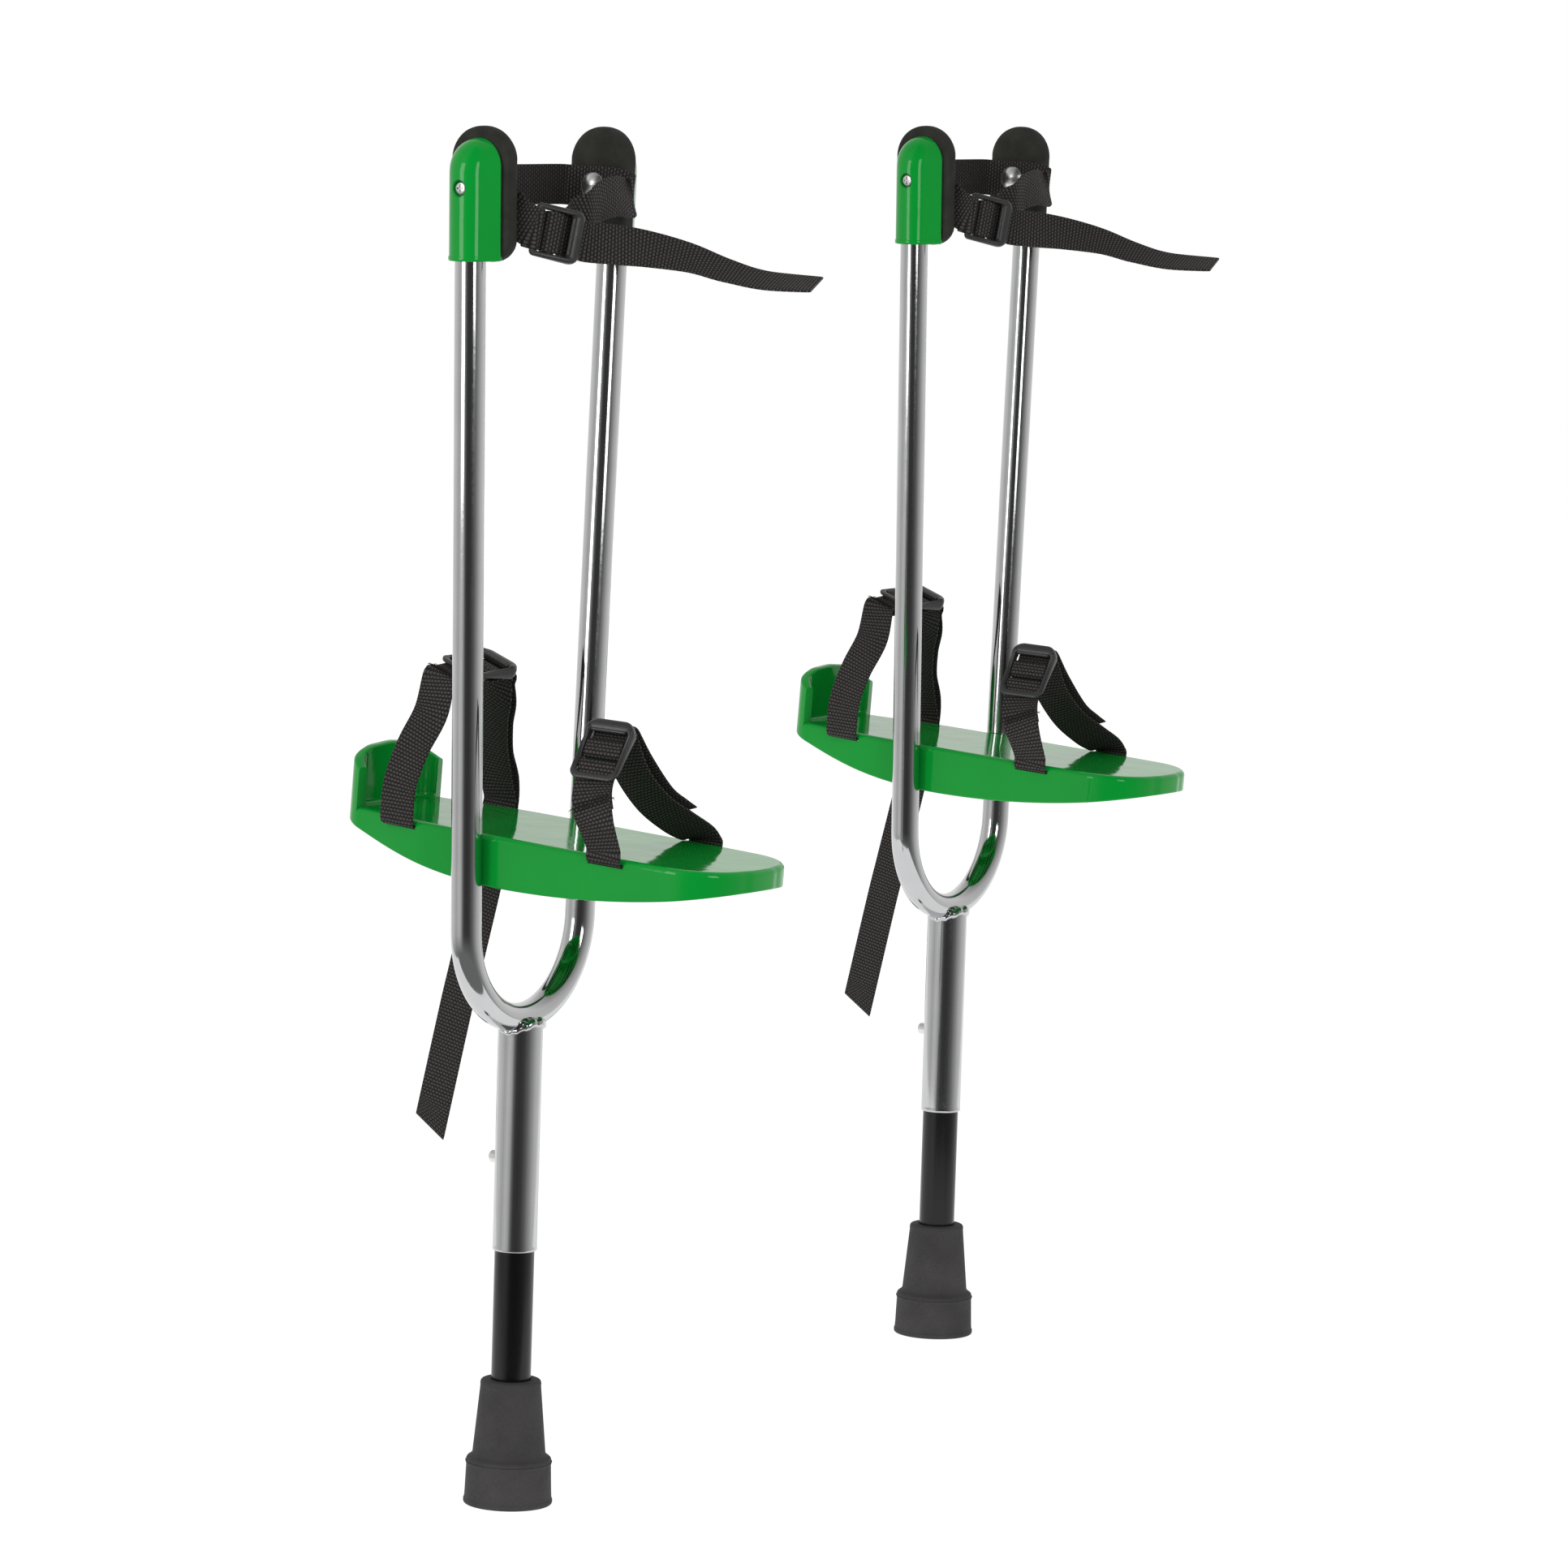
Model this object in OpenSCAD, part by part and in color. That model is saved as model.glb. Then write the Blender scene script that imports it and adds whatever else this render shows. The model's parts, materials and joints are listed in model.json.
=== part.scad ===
// A pair of peg stilts. Each has a chromed fork of bent tube on a telescopic peg with a rubber foot,
// a moulded foot plate between the fork's legs, and webbing straps for the toes, the ankle and the knee.
// Millimetres. X points to the toe, Y to the walker's left, Z up from the sole of the right stilt.

/* [Pair] */
// How far the left stilt stands behind the right one
pair_back = 90; // [0:10:400]
// How far apart the two stilts stand
pair_apart = 650; // [300:10:1000]

/* [Fork] */
// Outside diameter of the fork tube
tube_d = 19; // [16:0.5:25]
// Wall of the fork tube
tube_wall = 1.5; // [1:0.1:2.5]
// Radius of the fork's bend, to the middle of the tube
bend_r = 61; // [50:1:75]
// Height of the lowest point of the bend's middle line
bend_z = 308; // [260:1:400]
// Outward lean of each fork leg, in degrees
splay = 2; // [0:0.5:4]
// Length of each straight fork leg
fork_leg = 475; // [400:1:560]

/* [Stem and peg] */
// Outside diameter of the stem
stem_d = 28; // [27:0.5:34]
// Height of the stem's lower end
stem_z = 161; // [140:1:190]
// Outside diameter of the peg tube
peg_d = 25; // [20:0.5:25.5]
// Wall of the peg tube
peg_wall = 1.5; // [1:0.1:2.5]
// Radial clearance of the peg in the stem
slide_gap = 0.05; // [0.02:0.01:0.1]
// Height of the spring button
button_z = 218; // [190:1:240]
// Diameter of the spring button
button_d = 8; // [6:0.5:10]
// How far the button stands out of the stem
button_out = 6; // [3:0.5:8]
// Distance from one height setting to the next
hole_pitch = 25; // [20:1:30]
// Number of height settings
hole_count = 3; // [2:1:3]

/* [Rubber foot] */
// Diameter of the foot at the ground
foot_d = 56; // [45:1:70]
// Height of the foot
foot_h = 79; // [60:1:95]
// Height of the wide base of the foot
foot_base = 30; // [20:1:40]
// Diameter of the foot where the cone starts
foot_cone = 46; // [40:1:50]
// Diameter of the foot at its top
foot_neck = 37; // [33:1:44]
// Rubber under the peg
foot_floor = 12; // [8:1:20]
// Thickness of the steel washer in the foot
washer_t = 2; // [1:0.5:4]

/* [Foot plate] */
// Height of the deck between the fork legs
deck_z = 428; // [400:1:480]
// Slope of the deck towards the toe, in degrees
deck_pitch = 3.5; // [0:0.5:6]
// Reach of the plate in front of the fork
plate_front = 178; // [150:1:220]
// Reach of the plate behind the fork
plate_back = 112; // [80:1:120]
// Half width of the plate at the heel
heel_half = 44; // [40:1:52]
// Corner radius at the heel
heel_r = 17; // [8:1:25]
// Corner radius at the toe
toe_r = 38; // [20:1:42]
// Rounding of the deck's edge
edge_r = 3.5; // [1:0.5:5]
// Thickness of the deck
deck_t = 2.6; // [2:0.1:3]
// Thickness of the side walls
wall_t = 3; // [2:0.5:5]
// Depth of the side walls at the fork
wall_mid = 32; // [25:1:45]
// Depth of the wall at the heel
wall_heel = 8; // [6:1:20]
// Depth of the wall at the toe
wall_toe = 13; // [8:1:20]
// Height of the heel stop over the deck
stop_h = 38; // [20:1:50]
// Thickness of the heel stop
stop_t = 7; // [4:0.5:10]
// Thickness of the ribs under the deck
rib_t = 2.5; // [1.5:0.5:4]

/* [Caps and pads] */
// Radius of the cap round the tube
cap_r = 13; // [11:0.5:16]
// Half width of the cap's flat back
cap_half = 17.5; // [14:0.5:20]
// Distance of the cap's back from the middle of the tube
cap_back = 8.5; // [5:0.5:10]
// Length of the cap
cap_len = 74; // [60:1:90]
// Solid top of the cap, over the tube's end
cap_top = 11; // [4:1:12]
// Width of a knee pad
pad_w = 43; // [34:1:50]
// Height of a knee pad
pad_h = 82; // [70:1:100]
// Thickness of a knee pad
pad_t = 14; // [8:1:20]
// Distance of the knee fastening from the top of the cap
fix_down = 30; // [25:1:40]
// Diameter of the knee fastening's barrel
barrel_d = 7; // [5:0.5:8]
// Diameter of the domed nut's head
dome_d = 17; // [12:0.5:20]

/* [Webbing] */
// Width of the webbing
web_w = 25; // [20:1:30]
// Thickness of the webbing
web_t = 1.6; // [1:0.1:2]
// Free room round the webbing in a slot or a buckle
web_gap = 0.4; // [0.3:0.1:1]
// Place of the ankle strap's slots behind the fork
ankle_slot = 60; // [50:1:80]
// Place of the toe strap's slots in front of the fork
toe_slot = 97; // [80:1:120]
// Depth of the slots below the deck
slot_down = 4.4; // [4.2:0.1:8]

/* [Hidden] */
$fa = 5;
$fs = 0.8;
snug = 0.02;
tube_r = tube_d / 2;
centre_z = bend_z + bend_r;
foot_y = bend_r * cos(splay);
foot_z = centre_z - bend_r * sin(splay);
function leg_y(z) = foot_y + tan(splay) * (z - foot_z);

stem_bore = peg_d + 2 * slide_gap;
peg_top = button_z + 22;
peg_bore = peg_d - 2 * peg_wall;
button_reach = stem_d / 2 + button_out;

plate_half = leg_y(deck_z - wall_mid / 2) - tube_r + 0.6;
toe_half = plate_half - 2;
plate_len = plate_front + plate_back;
cap_z = fork_leg + cap_top - cap_len;
fix_z = fork_leg + cap_top - fix_down;
slot_h = web_t + 2 * web_gap;
slot_w = web_w + 2 * web_gap;
pad_z = cap_z - 1;
bar_r = 2;
rail = 5;
window = web_w + 2 * web_gap;

function unit(v) = v / norm(v);
function arc(x, y, r, a0, a1, n) =
    [for (i = [0:n]) let (a = a0 + (a1 - a0) * i / n) [x + r * cos(a), y + r * sin(a)]];

// outline of the plate, drawn in by d all round, anticlockwise from the near toe corner
function plate_plan(d) = let (
    tx = plate_front - 2 - toe_r, ty = toe_half - toe_r, hx = heel_r - plate_back, hy = heel_half - heel_r,
    tr = toe_r - d, hr = max(heel_r - d, 1), sag = ty * ty / 240) concat(
    arc(tx, -ty, tr, -90, -6, 9),
    [for (i = [-3:3]) [plate_front - d - sag * i * i / 12.25, ty * i / 3.5]],
    arc(tx, ty, tr, 6, 90, 9),
    [[90, plate_half - d - 0.4], [40, plate_half - d], [0, plate_half - d], [-45, plate_half - d - 1.6]],
    arc(hx, hy, hr, 90, 180, 7), arc(hx, -hy, hr, 180, 270, 7),
    [[-45, d + 1.6 - plate_half], [0, d - plate_half], [40, d - plate_half], [90, d + 0.4 - plate_half]]);
// depth of the side wall along the plate
function wall_depth(x) = x < 20
    ? wall_mid - (wall_mid - wall_heel) * pow((20 - x) / (20 + plate_back), 2)
    : wall_mid - (wall_mid - wall_toe) * pow((x - 20) / (plate_front - 20), 2);
function lift(plan, z) = [for (p = plan) [p[0], p[1], z]];

// outline of a knee pad, drawn in by d: round top and rounded lower corners, in X and Z
function pad_plan(d) = let (r = pad_w / 2 - d, c = 14, b = max(c - d, 1)) concat(
    arc(0, pad_h - pad_w / 2, r, 0, 180, 16),
    arc(c - pad_w / 2, c, b, 180, 270, 6), arc(pad_w / 2 - c, c, b, 270, 360, 6));
function stand(plan, y) = [for (p = plan) [p[0], y, p[1]]];

// a closed solid through rings that have the same number of points
module loft(rings) {
    n = len(rings[0]);
    m = len(rings);
    polyhedron(
        points = [for (r = rings) for (p = r) p],
        faces = concat(
            [[for (i = [0:n - 1]) i]],
            [for (k = [0:m - 2]) for (i = [0:n - 1]) [k * n + i, (k + 1) * n + i, k * n + (i + 1) % n]],
            [for (k = [0:m - 2]) for (i = [0:n - 1])
                [k * n + (i + 1) % n, (k + 1) * n + i, (k + 1) * n + (i + 1) % n]],
            [[for (i = [0:n - 1]) m * n - 1 - i]]));
}

// a smooth route through chosen points: each is a place and the direction across the webbing
function spline(a, b, c, d, t) = (2 * b + (c - a) * t + (2 * a - 5 * b + 4 * c - d) * t * t
    + (3 * b - a - 3 * c + d) * t * t * t) / 2;
function route(r, n) = concat([for (i = [0:len(r) - 2]) for (k = [0:n - 1])
    spline(r[max(i - 1, 0)], r[i], r[i + 1], r[min(i + 2, len(r) - 1)], k / n)], [r[len(r) - 1]]);
function place(v) = [v[0], v[1], v[2]];
function across(v) = [v[3], v[4], v[5]];
function web_ring(r, i) = let (
    t = unit(place(r[min(i + 1, len(r) - 1)]) - place(r[max(i - 1, 0)])),
    a = unit(across(r[i]) - (across(r[i]) * t) * t),
    n = cross(t, a), p = place(r[i]), w = a * web_w / 2, h = n * web_t / 2)
    [p - w - h, p + w - h, p + w + h, p - w + h];
module webbing(r) {
    loft([for (i = [0:len(r) - 1]) web_ring(r, i)]);
}

// a buckle's own axes: along the strap, outwards and across
function axes(o, u, w) = let (a = unit(u), c = unit(w - (w * a) * a)) [o, a, cross(c, a), c];
function in_axes(f, list) = [for (p = list) concat(f[0] + p[0] * f[1] + p[1] * f[2], f[3])];
// places on the plate and on the fork legs, in the stilt's frame
function on_plate(p) = [
    p[0] * cos(deck_pitch) + p[2] * sin(deck_pitch), p[1],
    deck_z + p[2] * cos(deck_pitch) - p[0] * sin(deck_pitch), cos(deck_pitch), 0, -sin(deck_pitch)];
function on_pad(side, x, y, z) = [x,
    side * (foot_y + y * cos(splay) + z * sin(splay)), foot_z + z * cos(splay) - y * sin(splay),
    0, -side * sin(splay), -cos(splay)];

// free points of a route, raised to the height of what they hang from
function raise(list, z) = [for (p = list) [p[0], p[1], p[2] + z, p[3], p[4], p[5]]];
knee_up = foot_z + fix_z * cos(splay);

// webbing in a ladder buckle: the sewn loop round its bar, then the strap up, over and back under its lip
bar_u = 13.8;
bridge = [-4.8, 0.8];
lip_u = 9.6;
half_bar = 1.5;
ply = web_t + 0.3;
loop_v = bar_r + 0.3 + web_t / 2;
main_v = -half_bar - 0.3 - ply - web_t / 2;
tail_v = -half_bar - 0.3 - web_t / 2;
over_v = half_bar + 0.3 + web_t / 2;
// the rim in front of the webbing at the sewn end
rim_u = 22.4;
rim_r = 1.7;
rim_v = (ply + web_t) / 2 + 0.35 + rim_r;
function sewn_loop(start) = concat(
    [for (u = [start:8:-21]) [u, -ply / 2]], [[-17.5, -loop_v + 0.9]],
    [for (a = [-90:30:90]) [loop_v * cos(a) - bar_u, loop_v * sin(a)]],
    [[-17.5, loop_v - 0.9]], [for (u = [-22:-8:start]) [u, ply / 2]]);
function threaded(turn) = concat(
    turn ? [[17.5, main_v - 6], [17.2, main_v - 2.4], [15.5, main_v - 0.4]] : [[24, main_v], [17, main_v]],
    [[12, main_v], [8, main_v], [2, main_v], [-4.4, main_v], [-6.5, main_v + 0.7],
        [-7.3, main_v + 2.6], [-7.3, 0.3], [-6.6, over_v - 0.8], [-4.8, over_v], [-2, over_v], [0.8, over_v],
        [2.6, over_v - 0.8], [3.3, 0.3], [3.7, tail_v + 0.8], [5.5, tail_v], [9, tail_v], [13, tail_v]],
    turn ? [[17, tail_v - 0.2], [19.6, tail_v - 1.6], [20.6, tail_v - 4.6], [20.2, tail_v - 9]]
        : [[18, tail_v], [24, tail_v + 0.6]]);

toe_axes = axes([83, -36, deck_z + 59], [-0.17, 0.47, 0.87], [0.94, 0.34, 0]);
ankle_axes = axes([-37, 2, deck_z + 96], [0.1, 0.93, 0.35], [1, 0, -0.3]);
knee_axes = axes([32, -32, knee_up - 26.6], [0.1, 0.97, 0.16], [0, 0.2, -1]);

// half width of the plate along it, and the webbing's way down outside, through the slots and under the deck
function wall_y(x) = lookup(x, [[heel_r - plate_back, heel_half], [-45, plate_half - 1.6], [0, plate_half],
    [40, plate_half], [90, plate_half - 0.4], [plate_front - 2 - toe_r, toe_half]]);
function under_plate(x) = let (
    w = max(wall_y(x - web_w / 2), wall_y(x + web_w / 2)) + web_t + 1.2,
    half = [[0, 9], [0.1, 4.5], [0.8, 1.8], [2.4, 0.2], [5, 0], [10, 0], [30, 0]])
    concat(
        [for (p = half) on_plate([x, p[0] - w, p[1] - slot_down])],
        [for (i = [len(half) - 1:-1:0]) on_plate([x, w - half[i][0], half[i][1] - slot_down])]);

toe_route = concat(
    in_axes(toe_axes, sewn_loop(-45)),
    raise([[93, -58.6, 16, 1, 0.1, 0]], deck_z),
    under_plate(toe_slot),
    raise([[98, 53, 9, 1, 0, 0], [97, 45, 15, 1, 0, 0], [93, 25, 20, 1, 0.1, 0], [89, 5, 31, 1, 0.2, 0],
        [84, -10, 48, 1, 0.3, 0]], deck_z),
    in_axes(toe_axes, threaded(true)),
    raise([[85, -8, 59, 1, 0.3, 0], [91, 10, 43, 1, 0.2, 0], [96, 30, 29, 1, 0.1, 0], [98, 46, 20, 1, 0, 0],
        [99, 54, 12, 1, 0, 0], [100, 58, 2, 1, 0, 0]], deck_z));
ankle_route = concat(
    in_axes(ankle_axes, sewn_loop(-38)),
    raise([[-44, -43, 70, 1, 0, -0.3], [-52, -50, 48, 1, 0, -0.2], [-58, -54, 26, 1, 0, -0.1]], deck_z),
    under_plate(-ankle_slot),
    raise([[-57, 50, 24, 1, 0, 0], [-52, 38, 48, 1, 0, 0], [-46, 28, 72, 1, 0, 0],
        [-40, 23, 88, 1, 0, -0.1]], deck_z),
    in_axes(ankle_axes, threaded(true)),
    raise([[-43, 31, 84, 1, 0, 0], [-50, 37, 68, 1, 0, 0], [-56, 47, 45, 1, 0, 0], [-60, 58, 20, 1, 0, 0],
        [-64, 62, -4, 1, 0, 0], [-75, 62, -52, 1, 0, -0.1], [-87, 61, -103, 1, 0, -0.2],
        [-94, 60, -134, 1, 0, -0.2], [-111, 58, -214, 1, 0, -0.3]], deck_z));
pad_web = -cap_back - pad_t - 0.3 - web_t / 2;
knee_y = foot_y + pad_web * cos(splay) + fix_z * sin(splay);
knee_route = concat(
    in_axes(knee_axes, sewn_loop(-21)),
    raise([[25, 1.3 - knee_y, -24.6, -0.5, 0, -0.8], [19, 3.3 - knee_y, -10.6, -0.2, 0.2, -1],
        [14, 1.8 - knee_y, -1.6, 0, 0.2, -1]], knee_up),
    [on_pad(-1, 9.5, pad_web - 0.1, fix_z),
        on_pad(-1, 0, pad_web, fix_z), on_pad(-1, -9, pad_web, fix_z), on_pad(-1, -16, pad_web - 3, fix_z),
        on_pad(-1, -19, pad_web - 12, fix_z)],
    raise([[-20, 0, -2.6, 0, 0, -1]], knee_up),
    [on_pad(1, -19, pad_web - 12, fix_z), on_pad(1, -16, pad_web - 3, fix_z), on_pad(1, -9, pad_web, fix_z),
        on_pad(1, 0, pad_web, fix_z), on_pad(1, 9, pad_web, fix_z), on_pad(1, 19, pad_web - 0.8, fix_z - 3),
        on_pad(1, 28, pad_web - 2, fix_z - 7), on_pad(1, 31, pad_web - 6, fix_z - 9)],
    raise([[29, knee_y - 11.3, -10.6, 0.4, 0, -1], [28, 28, -16.6, 0.2, 0, -1],
        [28, 4, -20.6, 0, 0.1, -1]], knee_up),
    in_axes(knee_axes, threaded(false)),
    raise([[38, 4, -25.6, 0.1, 0, -1], [56, 20, -31.6, 0.2, -0.4, -0.9], [83, 35, -38.6, 0.4, -0.6, -0.7],
        [106, 45, -46.6, 0.4, -0.7, -0.5], [130, 52, -51.6, 0.5, -0.8, -0.4],
        [165, 58, -52.6, 0.5, -0.8, -0.3]], knee_up));

SIDES = ["right", "left"];
PIECES = [
    "fork_tube", "stem_tube", "stem_weld", "foot_plate", "plate_screws",
    "outer_cap", "inner_cap", "outer_pad", "inner_pad", "cap_screws", "dome_nuts",
    "knee_strap", "knee_buckle", "ankle_strap", "ankle_buckle", "toe_strap", "toe_buckle",
    "peg_tube", "rubber_foot", "foot_washer", "snap_button"];

// the fork legs' own frames: X as it is, Y outwards, Z up along the tube
module on_leg(side) {
    mirror([0, side < 0 ? 1 : 0, 0]) translate([0, foot_y, foot_z]) rotate([-splay, 0, 0]) children();
}
module in_plate() {
    translate([0, 0, deck_z]) rotate([0, deck_pitch, 0]) children();
}
module in_buckle(f) {
    multmatrix([
        [f[1][0], f[2][0], f[3][0], f[0][0]],
        [f[1][1], f[2][1], f[3][1], f[0][1]],
        [f[1][2], f[2][2], f[3][2], f[0][2]],
        [0, 0, 0, 1]]) children();
}
// a rod along Y, from y0 to y1
module rod_y(d, y0, y1) {
    translate([0, y0, 0]) rotate([-90, 0, 0]) cylinder(d = d, h = y1 - y0);
}

// a section carried round the fork's bend
module fork_bend() {
    translate([0, 0, centre_z]) rotate([90, 0, 90]) rotate([0, 0, 180 + splay])
        rotate_extrude(angle = 180 - 2 * splay) translate([bend_r, 0]) children();
}
// the bend's wall is a little thicker each way than the legs' wall
bend_tube_r = tube_r + 0.2;
screw_z = deck_z - foot_z - wall_mid / 2;
screw_d = 5;
module fork_tube() {
    color("silver") {
        for (side = [-1, 1]) on_leg(side) difference() {
            translate([0, 0, -0.6]) cylinder(r = tube_r - snug, h = fork_leg + 0.6);
            translate([0, 0, -1]) cylinder(r = tube_r - tube_wall + snug, h = fork_leg + 2);
            translate([0, 0, fix_z]) rod_y(barrel_d + 2 * snug, -tube_d, tube_d);
            translate([0, 0, screw_z]) rod_y(screw_d + 2 * snug, -tube_d, 0);
        }
        fork_bend() difference() {
            circle(bend_tube_r);
            circle(2 * tube_r - tube_wall - bend_tube_r);
        }
    }
}

stem_top = bend_z - 3;
module stem_tube() {
    color("silver") difference() {
        translate([0, 0, stem_z]) cylinder(d = stem_d, h = stem_top - stem_z);
        translate([0, 0, stem_z - 1]) cylinder(d = stem_bore, h = stem_top - stem_z + 2);
        fork_bend() circle(bend_tube_r + snug);
        for (i = [0:hole_count - 1]) translate([-stem_d / 2, 0, button_z + hole_pitch * i])
            rotate([0, 90, 0]) cylinder(d = button_d + 2 * slide_gap, h = stem_d, center = true);
    }
}

module stem_weld() {
    color("silver") difference() {
        translate([0, 0, stem_top + 1]) rotate_extrude() translate([stem_d / 2 - 0.8, 0]) circle(3.2);
        translate([0, 0, stem_z]) cylinder(d = stem_d + 2 * snug, h = stem_top + snug - stem_z);
        fork_bend() circle(bend_tube_r + snug);
    }
}

// the heel stop's outline seen from behind: crowned, with rounded upper corners
function stop_outline() = let (h = heel_half + 1, r = 12, e = stop_h - 7) concat(
    [[-h, -4], [h, -4]], arc(h - r, e - r, r, 0, 72, 6), [[h * 0.45, stop_h - 1.6], [0, stop_h]],
    [[-h * 0.45, stop_h - 1.6]], arc(r - h, e - r, r, 108, 180, 6));
module foot_plate() {
    color("green") difference() {
        in_plate() difference() {
            union() {
                loft([lift(plate_plan(0), -wall_mid - 2), lift(plate_plan(0), -edge_r),
                    lift(plate_plan(edge_r * 0.13), -edge_r * 0.5),
                    lift(plate_plan(edge_r * 0.4), -edge_r * 0.2), lift(plate_plan(edge_r), 0)]);
                heel_stop();
            }
            difference() {
                translate([0, 0, -2 * wall_mid]) linear_extrude(2 * wall_mid - deck_t)
                    polygon(plate_plan(wall_t));
                plate_ribs();
            }
            under_walls(0);
            for (x = [-ankle_slot, toe_slot]) translate([x, 0, -slot_down])
                cube([slot_w, 3 * plate_half, slot_h], center = true);
        }
        for (side = [-1, 1]) on_leg(side) {
            translate([0, 0, screw_z - wall_mid]) cylinder(r = tube_r + snug, h = 2 * wall_mid);
            translate([0, 0, screw_z]) rod_y(screw_d + 2 * snug, -2 * tube_d, 0);
        }
    }
}
// the space below the walls' curved lower edge, raised by up
module under_walls(up) {
    rotate([90, 0, 0]) linear_extrude(4 * plate_half, center = true) polygon(concat(
        [for (i = [-1:25]) let (x = plate_len * i / 24 - plate_back) [x, up - wall_depth(x)]],
        [[plate_front + 20, -4 * wall_mid], [-plate_back - 20, -4 * wall_mid]]));
}
module plate_ribs() {
    difference() {
        union() {
            translate([plate_front / 2 - plate_back / 2, 0, -wall_mid])
                cube([plate_len, rib_t, 2 * wall_mid], center = true);
            for (x = [-30, 30, 62, 132]) translate([x, 0, -wall_mid])
                cube([rib_t, 3 * plate_half, 2 * wall_mid], center = true);
        }
        under_walls(6);
    }
}
module heel_stop() {
    intersection() {
        translate([0, 0, -edge_r]) linear_extrude(stop_h + edge_r + 2) difference() {
            polygon(plate_plan(0.3));
            polygon(plate_plan(stop_t));
        }
        translate([-plate_back - 1, 0, 0]) rotate([90, 0, 90]) linear_extrude(15) polygon(stop_outline());
    }
}

// pan-head screws from inside the plate into the fork legs
head_y = -tube_r + 0.6 - wall_t - 0.2;
module plate_screws() {
    color("dimgray") for (side = [-1, 1]) on_leg(side) translate([0, 0, screw_z]) {
        rod_y(screw_d, head_y - 1, -tube_r + tube_wall + 1);
        rod_y(9, head_y - 2.6, head_y);
    }
}

// cap on a tube's end: round in front, flat behind, with an arched and domed top
function cap_section() = concat([[cap_half, -cap_back]],
    arc(0, 0, cap_r, -15, 195, 20), [[-cap_half, -cap_back]]);
function cap_arch() = concat([[cap_half, -1]],
    arc(0, cap_len - cap_half, cap_half, 0, 180, 18), [[-cap_half, -1]]);
dome_h = 22;
function cap_dome() = concat([[-cap_back - 1, -1], [cap_r + 1, -1]],
    [for (a = [0:15:90]) [(cap_r + cap_back + 1) * cos(a) - cap_back, cap_len - dome_h * (1 - sin(a))]],
    [[-cap_back - 1, cap_len]]);
module cap(side) {
    color("green") on_leg(side) difference() {
        translate([0, 0, cap_z]) intersection() {
            linear_extrude(cap_len) polygon(cap_section());
            rotate([90, 0, 0]) linear_extrude(4 * cap_r, center = true) polygon(cap_arch());
            rotate([90, 0, 90]) linear_extrude(4 * cap_r, center = true) polygon(cap_dome());
        }
        translate([0, 0, cap_z - 1]) cylinder(r = tube_r + snug, h = cap_len - cap_top + 1);
        translate([0, 0, fix_z]) rod_y(barrel_d + 2 * snug, -2 * cap_r, 2 * cap_r);
    }
}

module pad(side) {
    color("black") on_leg(side) difference() {
        translate([0, -cap_back - snug, pad_z]) loft([stand(pad_plan(1.5), 0), stand(pad_plan(0.3), -1.2),
            stand(pad_plan(0), -3), stand(pad_plan(0), 5 - pad_t), stand(pad_plan(1.2), 2.2 - pad_t),
            stand(pad_plan(4.5), -pad_t)]);
        translate([0, 0, cap_z - cap_r]) cylinder(r = tube_r + snug, h = fork_leg - cap_z + cap_r + snug);
        translate([0, 0, fix_z]) rod_y(barrel_d + 2 * snug, -4 * cap_r, 0);
    }
}

// domed nut: its barrel runs from the strap out through the pad, the cap and the tube
nut_y = pad_web - web_t / 2 - 0.1;
bolt_d = 4;
module dome_nuts() {
    color("silver") for (side = [-1, 1]) on_leg(side) translate([0, 0, fix_z]) difference() {
        union() {
            translate([0, nut_y, 0]) rotate([90, 0, 0]) rotate_extrude() intersection() {
                translate([0, -dome_d * 0.36]) circle(dome_d * 0.62);
                square([dome_d / 2, dome_d]);
            }
            rod_y(barrel_d, nut_y, cap_r - 5);
        }
        rod_y(bolt_d + 2 * snug, -4, cap_r);
    }
}
module cap_screws() {
    color("silver") for (side = [-1, 1]) on_leg(side) translate([0, 0, fix_z]) {
        rod_y(bolt_d, 0, cap_r - 3);
        rod_y(barrel_d, cap_r - 4.5, cap_r - 1.5);
    }
}

module knee_strap() {
    color("black") difference() {
        webbing(route(knee_route, 2));
        for (side = [-1, 1]) on_leg(side) translate([0, 0, fix_z])
            rod_y(barrel_d + 0.2, pad_web - 4, pad_web + 4);
    }
}
module ankle_strap() {
    color("black") webbing(route(ankle_route, 2));
}
module toe_strap() {
    color("black") webbing(route(toe_route, 2));
}

// ladder buckle: two rails, the sewn end's bar, the bridge and the lip, and on two of them
// a rim in front of the webbing
module buckle(f, rimmed) {
    color("dimgray") in_buckle(f) {
        for (s = [-1, 1]) translate([0, 0, s * (window + rail) / 2]) linear_extrude(rail, center = true) {
            square([2 * bar_u, 4.4], center = true);
            for (e = [-1, 1]) translate([e * bar_u, 0]) circle(2.2);
            if (rimmed) {
                translate([-bar_u, 0]) rotate(atan2(rim_v, bar_u - rim_u)) translate([0, -half_bar])
                    square([norm([rim_v, bar_u - rim_u]), 2 * half_bar]);
                translate([-rim_u, rim_v]) circle(rim_r);
            }
        }
        if (rimmed) translate([-rim_u, rim_v, 0]) cylinder(r = rim_r, h = window + 2, center = true);
        translate([-bar_u, 0, 0]) cylinder(r = bar_r, h = window + 2, center = true);
        translate([(bridge[0] + bridge[1]) / 2, 0, 0])
            cube([bridge[1] - bridge[0], 2 * half_bar, window + 2], center = true);
        translate([lip_u + 3, 0, 0]) cube([6, 2 * half_bar, window + 2], center = true);
        translate([lip_u + 6, 0.9, 0]) cylinder(r = 2.4, h = window + 2 * rail - 2, center = true);
    }
}

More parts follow.
